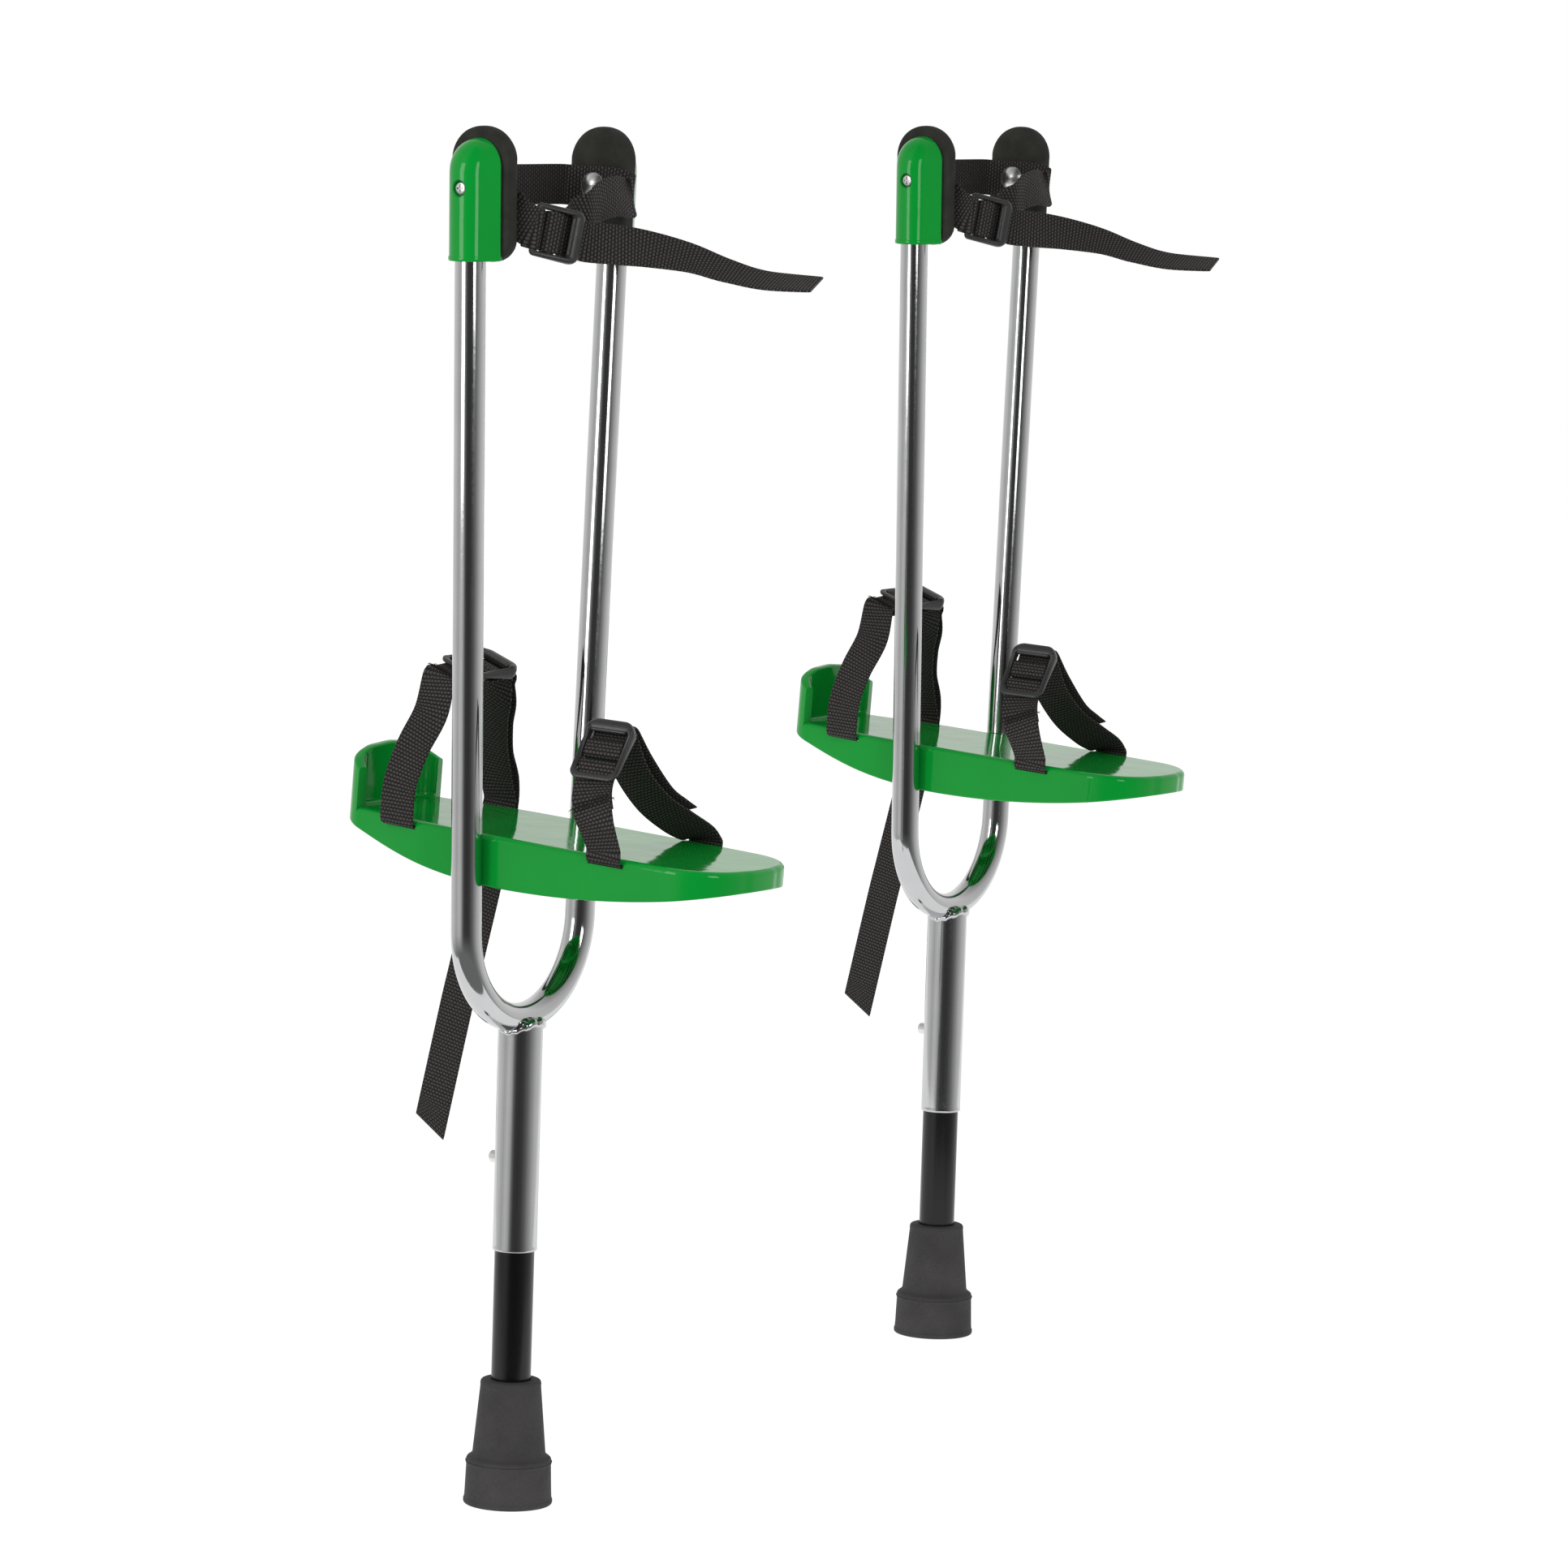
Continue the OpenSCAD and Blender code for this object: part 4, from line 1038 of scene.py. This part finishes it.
def buckle_shape(s, f, rimmed):
    """A moulded ladder buckle: a frame with a thick lip, a bar, a bridge and perhaps a raised rim."""
    half = s.window / 2
    edge = half + s.rail - 1.2
    if rimmed:
        outer = [(8.7, edge - 8.5, 8.5), (-18.3, edge - 6.0, 5.6)]
        inner = [(7.2, half - 1.5, 1.5), (-15.8, half - 4.0, 4.0)]
    else:
        outer = [(11.0, edge - 6.2, 6.2), (-12.6, edge - 3.6, 3.3)]
        inner = [(7.2, half - 1.5, 1.5), (-10.2, half - 1.5, 1.5)]
    lines = [round_outline([(u, w * sign, r) for u, w, r in corners for sign in LEGS], 96)
             for corners in (outer, inner)]
    rings = []
    for a, b in zip(*lines):
        if rimmed:
            for p in (a, b):
                p[0] -= 1.5 * ease(-p[0], 12, 19) * (1 - (p[1] / 18) ** 2)
        middle = (a + b) / 2
        spoke = (a - b) / 2
        wide = np.linalg.norm(spoke)
        spoke = spoke / wide
        u = middle[0]
        lip = ease(u, 5, 10)
        rail = ease(abs(middle[1]), half - 0.3, half + 1.3) * ease(u, -12, 7)
        rise = 0.2 + 1.4 * lip - 0.9 * rail
        thick = 1.75 + 1.2 * lip + 1.3 * rail
        if rimmed:
            low = ease(-u, 9, 20)
            rise += 3.75 * low
            thick -= 0.6 * low
        else:
            thick -= 0.25 * ease(-u, 9, 14)
        section = squared_ring(wide, thick, power=0.62 + 0.2 * lip)
        rings.append(np.column_stack([middle[0] + section[:, 0] * spoke[0], rise + section[:, 1],
                                      middle[1] + section[:, 0] * spoke[1]]))
    shapes = [loft(rings, closed=True)]

    def crossbar(u, v, half_u, half_v, reach, power=0.62):
        ring = squared_ring(half_u, half_v, power=power)
        stations = ((-reach, 0.7), (0.3 - reach, 0.95), (1.0 - reach, 1.0), (0, 1.0), (reach - 1.0, 1.0),
                    (reach - 0.3, 0.95), (reach, 0.7))
        rings = []
        for w, share in stations:
            rings.append(np.column_stack([ring * share + [u, v], np.full(len(ring), w)]))
        shapes.append(loft(rings))

    crossbar(-2.0, 0, 2.8, HALF_BAR, half + 1.5)
    crossbar(9.0, 3.6, 1.1, 1.2, half - 1.2, 1.0)
    if rimmed:
        crossbar(-BAR_U, 0, BAR_R, BAR_R, half + 1.5, 1.0)
    points, faces = joined(shapes)
    return f[0] + points[:, :1] * f[1] + points[:, 1:2] * f[2] + points[:, 2:] * f[3], faces


def node(tree, kind, inputs=None, **settings):
    """A shader node with its settings, its values and its links."""
    made = tree.nodes.new(kind)
    for name, value in settings.items():
        setattr(made, name, value)
    for name, value in (inputs or {}).items():
        if isinstance(value, bpy.types.NodeSocket):
            tree.links.new(value, made.inputs[name])
        else:
            made.inputs[name].default_value = value
    return made


def group_tree(name, inputs, outputs):
    """An empty node group with its sockets, and its input and output nodes."""
    tree = bpy.data.node_groups.new(name, "ShaderNodeTree")
    for label, default in inputs:
        socket = tree.interface.new_socket(label, in_out="INPUT", socket_type="NodeSocketFloat")
        socket.default_value = default
    for label in outputs:
        tree.interface.new_socket(label, in_out="OUTPUT", socket_type="NodeSocketFloat")
    return tree, tree.nodes.new("NodeGroupInput"), tree.nodes.new("NodeGroupOutput")


def maths(tree, operation, *values):
    """The output of a math node."""
    return node(tree, "ShaderNodeMath", dict(enumerate(values)), operation=operation).outputs[0]


def spread(tree, value, low, high, to_low=0.0, to_high=1.0, **settings):
    """The output of a node that maps a value from one range to another."""
    inputs = {"Value": value, "From Min": low, "From Max": high, "To Min": to_low, "To Max": to_high}
    return node(tree, "ShaderNodeMapRange", inputs, **settings).outputs[0]


def noise(tree, place, scale, detail, roughness=0.5):
    """The output of a noise."""
    inputs = {"Vector": place, "Scale": scale, "Detail": detail, "Roughness": roughness}
    return node(tree, "ShaderNodeTexNoise", inputs).outputs[0]


def relief(tree, height, strength, distance):
    """A bump node for a height."""
    return node(tree, "ShaderNodeBump", {"Height": height, "Strength": strength, "Distance": distance})


def weave_group():
    """Webbing: brick rows of threads that are wider across the strap than along it, with a thread mask for
    the crowns, which carry a painted highlight.
    """
    tree, given, result = group_tree(
        "Webbing weave", [("Across", 10.0), ("Rows", 11.2)], ["Height", "Thread"]
    )
    uv = node(tree, "ShaderNodeUVMap", uv_map="webbing")
    split = node(tree, "ShaderNodeSeparateXYZ", {0: uv.outputs[0]})
    rows = maths(tree, "MULTIPLY", split.outputs[1], given.outputs["Rows"])
    odd = maths(tree, "MODULO", maths(tree, "FLOOR", rows), 2.0)
    shift = maths(tree, "MULTIPLY", odd, 0.5)
    columns = maths(tree, "MULTIPLY_ADD", split.outputs[0], given.outputs["Across"], shift)
    reach = []
    for place, half in ((columns, 0.5), (rows, 0.43)):
        middle = maths(tree, "SUBTRACT", maths(tree, "FRACT", place), 0.5)
        share = maths(tree, "DIVIDE", middle, half)
        reach.append(maths(tree, "MULTIPLY", share, share))
    crown = maths(tree, "SUBTRACT", 1.0, maths(tree, "ADD", *reach))
    fuzz = noise(tree, node(tree, "ShaderNodeTexCoord").outputs["Object"], 700.0, 3.0)
    uneven = maths(tree, "MULTIPLY_ADD", fuzz, 0.9, -0.45)
    height = maths(tree, "ADD", crown, uneven)
    thread = spread(tree, height, -0.25, 1.05, interpolation_type="SMOOTHSTEP")
    tree.links.new(spread(tree, height, -0.8, 1.1), result.inputs["Height"])
    tree.links.new(thread, result.inputs["Thread"])
    return tree


def mottle_group():
    """Uneven surfaces: a slow noise as values between two limits, and a fine one."""
    tree, given, result = group_tree(
        "Mottle", [("Scale", 60.0), ("Low", 0.1), ("High", 0.2)], ["Value", "Grain"]
    )
    place = node(tree, "ShaderNodeTexCoord").outputs["Object"]
    slow = noise(tree, place, given.outputs["Scale"], 2.0)
    value = spread(tree, slow, 0.3, 0.7, given.outputs["Low"], given.outputs["High"])
    fine = noise(tree, place, maths(tree, "MULTIPLY", given.outputs["Scale"], 14.0), 2.0)
    tree.links.new(value, result.inputs["Value"])
    tree.links.new(fine, result.inputs["Grain"])
    return tree


def scratch_group():
    """Fine scratches along a tube, as a mask."""
    tree, given, result = group_tree("Scratches", [("Scale", 260.0)], ["Mask"])
    place = node(tree, "ShaderNodeTexCoord").outputs["Object"]
    stretch = node(tree, "ShaderNodeMapping", {"Vector": place, "Scale": (1.0, 1.0, 0.05)})
    lines = noise(tree, stretch.outputs[0], given.outputs["Scale"], 4.0, 0.7)
    tree.links.new(spread(tree, lines, 0.6, 0.74), result.inputs["Mask"])
    return tree


def new_shader(name, shine):
    """A new material's node tree and its shader, with the strength of its gloss."""
    material = bpy.data.materials.new(FINISH + name)
    material.use_nodes = True
    shader = material.node_tree.nodes["Principled BSDF"]
    shader.inputs["Specular IOR Level"].default_value = shine
    return material.node_tree, shader


def two_tones(tree, shader, mask, dark, pale):
    """Colours a shader from a dark to a pale tone by a mask."""
    inputs = {0: mask, 6: tuple(dark) + (1.0,), 7: tuple(pale) + (1.0,)}
    mix = node(tree, "ShaderNodeMix", inputs, data_type="RGBA")
    tree.links.new(mix.outputs[2], shader.inputs["Base Color"])


def finish(name, groups, tone, low, scale, rough, bump, metallic=0.0, shade=0.75, scratches=0.0,
           shine=0.5, wave=0.0):
    """A material with a mottled tone, an uneven roughness and a fine grain."""
    tree, shader = new_shader(name, shine)
    shader.inputs["Metallic"].default_value = metallic
    mottle = node(tree, "ShaderNodeGroup", {"Scale": scale, "Low": low, "High": 1.0},
                  node_tree=groups["mottle"])
    two_tones(tree, shader, mottle.outputs["Value"], [shade * part for part in tone], tone)
    roughness = spread(tree, mottle.outputs["Grain"], 0.25, 0.75, *rough)
    if scratches:
        marks = node(tree, "ShaderNodeGroup", node_tree=groups["scratch"])
        roughness = maths(tree, "MULTIPLY_ADD", marks.outputs["Mask"], scratches, roughness)
    tree.links.new(roughness, shader.inputs["Roughness"])
    grain = relief(tree, mottle.outputs["Grain"], *bump)
    if wave:
        sink = relief(tree, mottle.outputs["Value"], 1.0, wave)
        tree.links.new(sink.outputs[0], grain.inputs["Normal"])
    tree.links.new(grain.outputs[0], shader.inputs["Normal"])


def webbing_finish(groups, colours):
    """Black polypropylene webbing: a painted highlight makes the threads' crowns paler, and painted shade
    makes the gaps between them darker.
    """
    tree, shader = new_shader("webbing", 0.22)
    weave = node(tree, "ShaderNodeGroup", node_tree=groups["weave"])
    thread = weave.outputs["Thread"]
    # Painted highlight on the crowns and painted shade in the gaps, mixed from the yarn colours by the
    # thread mask.
    two_tones(tree, shader, thread, colours.yarn_gap_and_shade, colours.yarn_and_sheen)
    tree.links.new(spread(tree, thread, 0.0, 1.0, 0.85, 0.5), shader.inputs["Roughness"])
    threads = relief(tree, weave.outputs["Height"], 0.7, 0.0005)
    tree.links.new(threads.outputs[0], shader.inputs["Normal"])


class STILTS_OT_finishes(bpy.types.Operator):
    """Makes the materials of both stilts"""

    bl_idname = "stilts.finishes"
    bl_label = "Finishes"

    def execute(self, context):
        c = context.scene.stilt_colours
        groups = {"weave": weave_group(), "mottle": mottle_group(), "scratch": scratch_group()}
        finish("chrome", groups, c.chrome, low=0.2, scale=45, rough=(0.06, 0.12), bump=(0.012, 0.0002),
               metallic=1.0, shade=0.93, scratches=0.10)
        finish("green_plastic", groups, c.green, low=0.3, scale=30, rough=(0.05, 0.10), bump=(0.02, 0.0003),
               shade=0.93, shine=0.3, wave=0.0002)
        finish("pad", groups, c.foam, low=0.0, scale=90, rough=(0.75, 0.95), bump=(0.35, 0.0006),
               shade=0.62, shine=0.3)
        webbing_finish(groups, c)
        finish("buckle", groups, c.buckle, low=0.2, scale=70, rough=(0.30, 0.42), bump=(0.10, 0.0003))
        finish("black_tube", groups, c.peg, low=0.2, scale=50, rough=(0.17, 0.25), bump=(0.04, 0.0002),
               scratches=0.12, shine=0.36)
        finish("rubber", groups, c.rubber, low=0.0, scale=40, rough=(0.70, 0.92), bump=(0.22, 0.0005),
               shade=0.68, shine=0.4)
        finish("steel", groups, c.steel, low=0.2, scale=60, rough=(0.26, 0.38), bump=(0.02, 0.0002),
               metallic=1.0, shade=0.85)
        return {"FINISHED"}


class STILTS_OT_fork(bpy.types.Operator):
    """Models the forks, the stems and their weld beads"""

    bl_idname = "stilts.fork"
    bl_label = "Fork and stem"

    def execute(self, context):
        s = sizes(context)
        stand_pair(make("fork", fork_shape(s)), "bent_fork", "fork_tube", "chrome")
        stand_pair(stem_piece(s), "holed_stem", "stem_tube", "chrome")
        stand_pair(make("weld", weld_shape(s), 60), "weld_bead", "stem_weld", "chrome")
        return {"FINISHED"}


class STILTS_OT_peg(bpy.types.Operator):
    """Models the pegs, the rubber feet, the washers and the spring buttons"""

    bl_idname = "stilts.peg"
    bl_label = "Peg and foot"

    def execute(self, context):
        s = sizes(context)
        stand_pair(peg_piece(s), "sliding_peg", "peg_tube", "black_tube", "leg")
        stand_pair(make("foot", foot_shape(s), 35), "ferrule", "rubber_foot", "rubber", "leg")
        stand_pair(make("washer", washer_shape(s), 35), "ferrule_washer", "foot_washer", "steel", "leg")
        clips = stand_pair(make("clip", clip_shape(s), 35), "spring_clip", "snap_button", "steel", None)
        for side, clip in zip(SIDES, clips):
            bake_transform(clip)
        return {"FINISHED"}


class STILTS_OT_plate(bpy.types.Operator):
    """Models the foot plates and their screws"""

    bl_idname = "stilts.plate"
    bl_label = "Foot plate"

    def execute(self, context):
        s = sizes(context)
        stand_pair(plate_piece(s), "boat_plate", "foot_plate", "green_plastic")
        up = s.deck_z - s.foot_z - s.wall_mid / 2
        face = -s.tube_r + 0.6 - s.wall_t - 0.2
        shank_r = 2.5
        heads = []
        for leg in LEGS:
            points, faces = cross_head(r=4.5, height=2.6)
            points = points * [1, 1, -1] + [0, 0, face]
            heads.append(on_leg(s, leg, outwards((points, faces), up)))
            shank = lathe([(shank_r, face - 0.5), (shank_r, -s.tube_r + 2.5)], 32)
            heads.append(on_leg(s, leg, outwards(shank, up)))
        stand_pair(make("plate_screws", joined(heads)), "plate_cross_heads", "plate_screws", "steel")
        return {"FINISHED"}


class STILTS_OT_caps(bpy.types.Operator):
    """Models the caps, the knee pads and their fastenings"""

    bl_idname = "stilts.caps"
    bl_label = "Caps and pads"

    def execute(self, context):
        s = sizes(context)
        sunk = 3.9
        heads = []
        for leg in LEGS:
            stand_pair(cap_piece(s, leg), "LEG_domed_cap", "LEG_cap", "green_plastic", leg=leg)
            pads = stand_pair(make("pad", pad_shape(s, leg), 60), "LEG_foam_pad", "LEG_pad", "pad", leg=leg)
            points, faces = cross_head(r=4.3, height=2.2)
            heads.append(on_leg(s, leg, outwards((points + [0, 0, s.cap_r - sunk], faces), s.fix_z)))
        stand_pair(make("cap_screws", joined(heads)), "cap_cross_heads", "cap_screws", "steel")
        nuts = make("nuts", joined([nut_shape(s, leg) for leg in LEGS]), 35)
        stand_pair(nuts, "domed_nuts", "dome_nuts", "steel")
        return {"FINISHED"}


class STILTS_OT_straps(bpy.types.Operator):
    """Models the webbing straps, their stitches and their buckles"""

    bl_idname = "stilts.straps"
    bl_label = "Straps and buckles"

    def execute(self, context):
        s = sizes(context)
        places = buckle_places(s)
        loose = [(-12.2, 0.6, 1.0), (-12.3, -0.5, 0.2), (12.2, 0.8, 1.4), (12.3, 0.1, 0.4),
                 (12.1, -0.4, 2.0)]
        plan = (
            ("toe", toe_route, True, 5.0, -42.0, "stretched", ("foot_plate", "toe_buckle")),
            ("ankle", ankle_route, True, 5.0, -35.0, "hung", ("foot_plate", "ankle_buckle")),
            ("knee", knee_route, False, 1.0, None, "stretched", ("outer_pad", "inner_pad", "knee_buckle")),
        )
        for name, route, rimmed, cut, seam, held, rests in plan:
            place = places[name]
            strap = strap_rows(s, route(s, place))
            piece = strap_piece(s, name, strap, cut)
            pair = stand_pair(piece, name + "_webbing", name + "_strap", "webbing")
            stitches = [None, None]
            if seam is not None:
                shape = seam_shape(s, strap, place, seam, loose)
                stitches = stand_pair(make("seam", shape, 60), name + "_stitches", None, "webbing")
            buckle = make("buckle", buckle_shape(s, place, rimmed), 50)
            stand_pair(buckle, name + "_ladder", name + "_buckle", "buckle")
        return {"FINISHED"}


def aim(thing, target):
    """Points a camera or a lamp at a place."""
    thing.rotation_mode = "QUATERNION"
    thing.rotation_quaternion = (Vector(target) - thing.location).to_track_quat("-Z", "Y")


def studio_world(camera_azimuth):
    """A pale studio whose dark end is behind the camera, and plain white where the camera looks."""
    world = bpy.data.worlds.new("studio")
    bpy.context.scene.world = world
    world.use_nodes = True
    tree = world.node_tree
    tree.nodes.clear()
    a = camera_azimuth
    place = node(tree, "ShaderNodeTexCoord").outputs["Generated"]
    ways = []
    for way in ((math.cos(a), math.sin(a), 0.0), (math.sin(a), -math.cos(a), 0.0)):
        dot = node(tree, "ShaderNodeVectorMath", {0: place, 1: way}, operation="DOT_PRODUCT")
        ways.append(dot.outputs["Value"])
    heading = maths(tree, "ARCTAN2", *ways)
    ramp = node(tree, "ShaderNodeValToRGB", {0: maths(tree, "MULTIPLY_ADD", heading, 0.5 / math.pi, 0.5)})
    elements = ramp.color_ramp.elements
    for degrees, _ in ROOM[1:-1]:
        elements.new(degrees / 360 + 0.5)
    for element, (_, level) in zip(elements, ROOM):
        element.color = (level, level, 0.985 * level, 1.0)
    height = node(tree, "ShaderNodeSeparateXYZ", {0: place}).outputs["Z"]
    below = spread(tree, height, -0.2, -0.5)
    overhead = spread(tree, height, 0.45, 0.95, 0.95, 0.45)
    ground = node(tree, "ShaderNodeMix", {0: below, 6: ramp.outputs[0], 7: ROOM_FLOOR},
                  data_type="RGBA")
    room = node(tree, "ShaderNodeBackground", {"Color": ground.outputs[2], "Strength": overhead})
    white = node(tree, "ShaderNodeBackground", {"Color": WHITE, "Strength": 1.0})
    even = node(tree, "ShaderNodeBackground", {"Color": WHITE, "Strength": EVEN_LIGHT})
    path = node(tree, "ShaderNodeLightPath").outputs
    seen = node(tree, "ShaderNodeMixShader", {0: path["Is Camera Ray"], 1: room.outputs[0],
                                              2: white.outputs[0]})
    mix = node(tree, "ShaderNodeMixShader", {0: path["Is Diffuse Ray"], 1: seen.outputs[0],
                                             2: even.outputs[0]})
    output = node(tree, "ShaderNodeOutputWorld")
    tree.links.new(mix.outputs[0], output.inputs[0])


def floor_piece(toward, level):
    """A pale floor that keeps a soft shadow, and ends a little in front of the stilts."""
    corners = []
    glow_share = 0.75
    # Metres towards the camera and to its right.
    for near, side in ((0.2, -0.6), (0.2, 0.6), (-9, 6), (-9, -6)):
        corners.append(Vector(toward) * near + Vector(level) * side)
    rings = [np.array([(c.x / MM, c.y / MM, z) for c in corners]) for z in (-20, -0.5)]
    floor = make("floor", loft(rings))
    material = bpy.data.materials.new("floor")
    material.use_nodes = True
    tree = material.node_tree
    tree.nodes.clear()
    paint = node(tree, "ShaderNodeBsdfDiffuse", {"Color": (0.9, 0.9, 0.9, 1.0)})
    glow = node(tree, "ShaderNodeEmission", {"Color": WHITE, "Strength": 1.24})
    mix = node(tree, "ShaderNodeMixShader", {0: glow_share, 1: paint.outputs[0], 2: glow.outputs[0]})
    output = node(tree, "ShaderNodeOutputMaterial")
    tree.links.new(mix.outputs[0], output.inputs[0])
    floor.data.materials.append(material)


class STILTS_OT_stage(bpy.types.Operator):
    """Makes the camera, the soft boxes, the floor and the white background"""

    bl_idname = "stilts.stage"
    bl_label = "Stage"

    def execute(self, context):
        stage = context.scene.stilt_stage
        a = stage.azimuth
        e = stage.elevation
        back = Vector((math.sin(a) * math.cos(e), -math.cos(a) * math.cos(e), math.sin(e)))
        level = Vector((math.cos(a), math.sin(a), 0))
        over = back.cross(level)
        right = level * math.cos(stage.roll) + over * math.sin(stage.roll)
        up = over * math.cos(stage.roll) - level * math.sin(stage.roll)
        place = back * stage.distance + right * stage.shift_right + up * stage.shift_up
        lens = bpy.data.cameras.new("camera")
        lens.lens = stage.focal
        lens.sensor_width = SENSOR
        lens.clip_end = 100
        camera = bpy.data.objects.new("camera", lens)
        context.scene.collection.objects.link(camera)
        camera.matrix_world = Matrix((
            (right.x, up.x, back.x, place.x),
            (right.y, up.y, back.y, place.y),
            (right.z, up.z, back.z, place.z),
            (0, 0, 0, 1)))
        context.scene.camera = camera
        for name, degrees, width, height, low, share in BOXES:
            heading = a + math.radians(degrees)
            lamp = bpy.data.lights.new(name, "AREA")
            lamp.shape = "RECTANGLE"
            lamp.size = width
            lamp.size_y = height
            lamp.energy = stage.lamp_power * share
            holder = bpy.data.objects.new(name, lamp)
            context.scene.collection.objects.link(holder)
            middle = Vector((*PAIR_MIDDLE, low + height / 2))
            away = Vector((BOX_REACH * math.sin(heading), -BOX_REACH * math.cos(heading), 0))
            holder.location = middle + away
            holder.visible_camera = False
            aim(holder, middle)
        studio_world(a)
        floor_piece((math.sin(a), -math.cos(a), 0), level)
        context.scene.view_settings.view_transform = "Standard"
        return {"FINISHED"}


OPERATORS = (
    STILTS_OT_stage, STILTS_OT_finishes, STILTS_OT_fork, STILTS_OT_peg, STILTS_OT_plate, STILTS_OT_caps,
    STILTS_OT_straps,
)


class STILTS_PT_sidebar(bpy.types.Panel):
    """Sizes, colours and pieces of the stilts"""

    bl_label = "Peg Stilts"
    bl_space_type = "VIEW_3D"
    bl_region_type = "UI"
    bl_category = "Stilts"

    def draw(self, context):
        for key, group in SETTINGS.items():
            column = self.layout.column(align=True)
            for name in group.__annotations__:
                column.prop(getattr(context.scene, key), name)
        for operator in OPERATORS:
            self.layout.operator(operator.bl_idname)


def register():
    """Registers the settings, the operators and the panel."""
    for key, group in SETTINGS.items():
        bpy.utils.register_class(group)
        setattr(bpy.types.Scene, key, PointerProperty(type=group))
    for operator in OPERATORS:
        bpy.utils.register_class(operator)
    bpy.utils.register_class(STILTS_PT_sidebar)


def unregister():
    """Takes back what register added."""
    bpy.utils.unregister_class(STILTS_PT_sidebar)
    for operator in reversed(OPERATORS):
        bpy.utils.unregister_class(operator)
    for key, group in SETTINGS.items():
        delattr(bpy.types.Scene, key)
        bpy.utils.unregister_class(group)


def main():
    """Builds both stilts and the stage."""
    register()
    bpy.ops.stilts.stage()
    bpy.ops.stilts.finishes()
    bpy.ops.stilts.fork()
    bpy.ops.stilts.peg()
    bpy.ops.stilts.plate()
    bpy.ops.stilts.caps()
    bpy.ops.stilts.straps()
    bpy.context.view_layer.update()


if __name__ == "__main__":
    main()
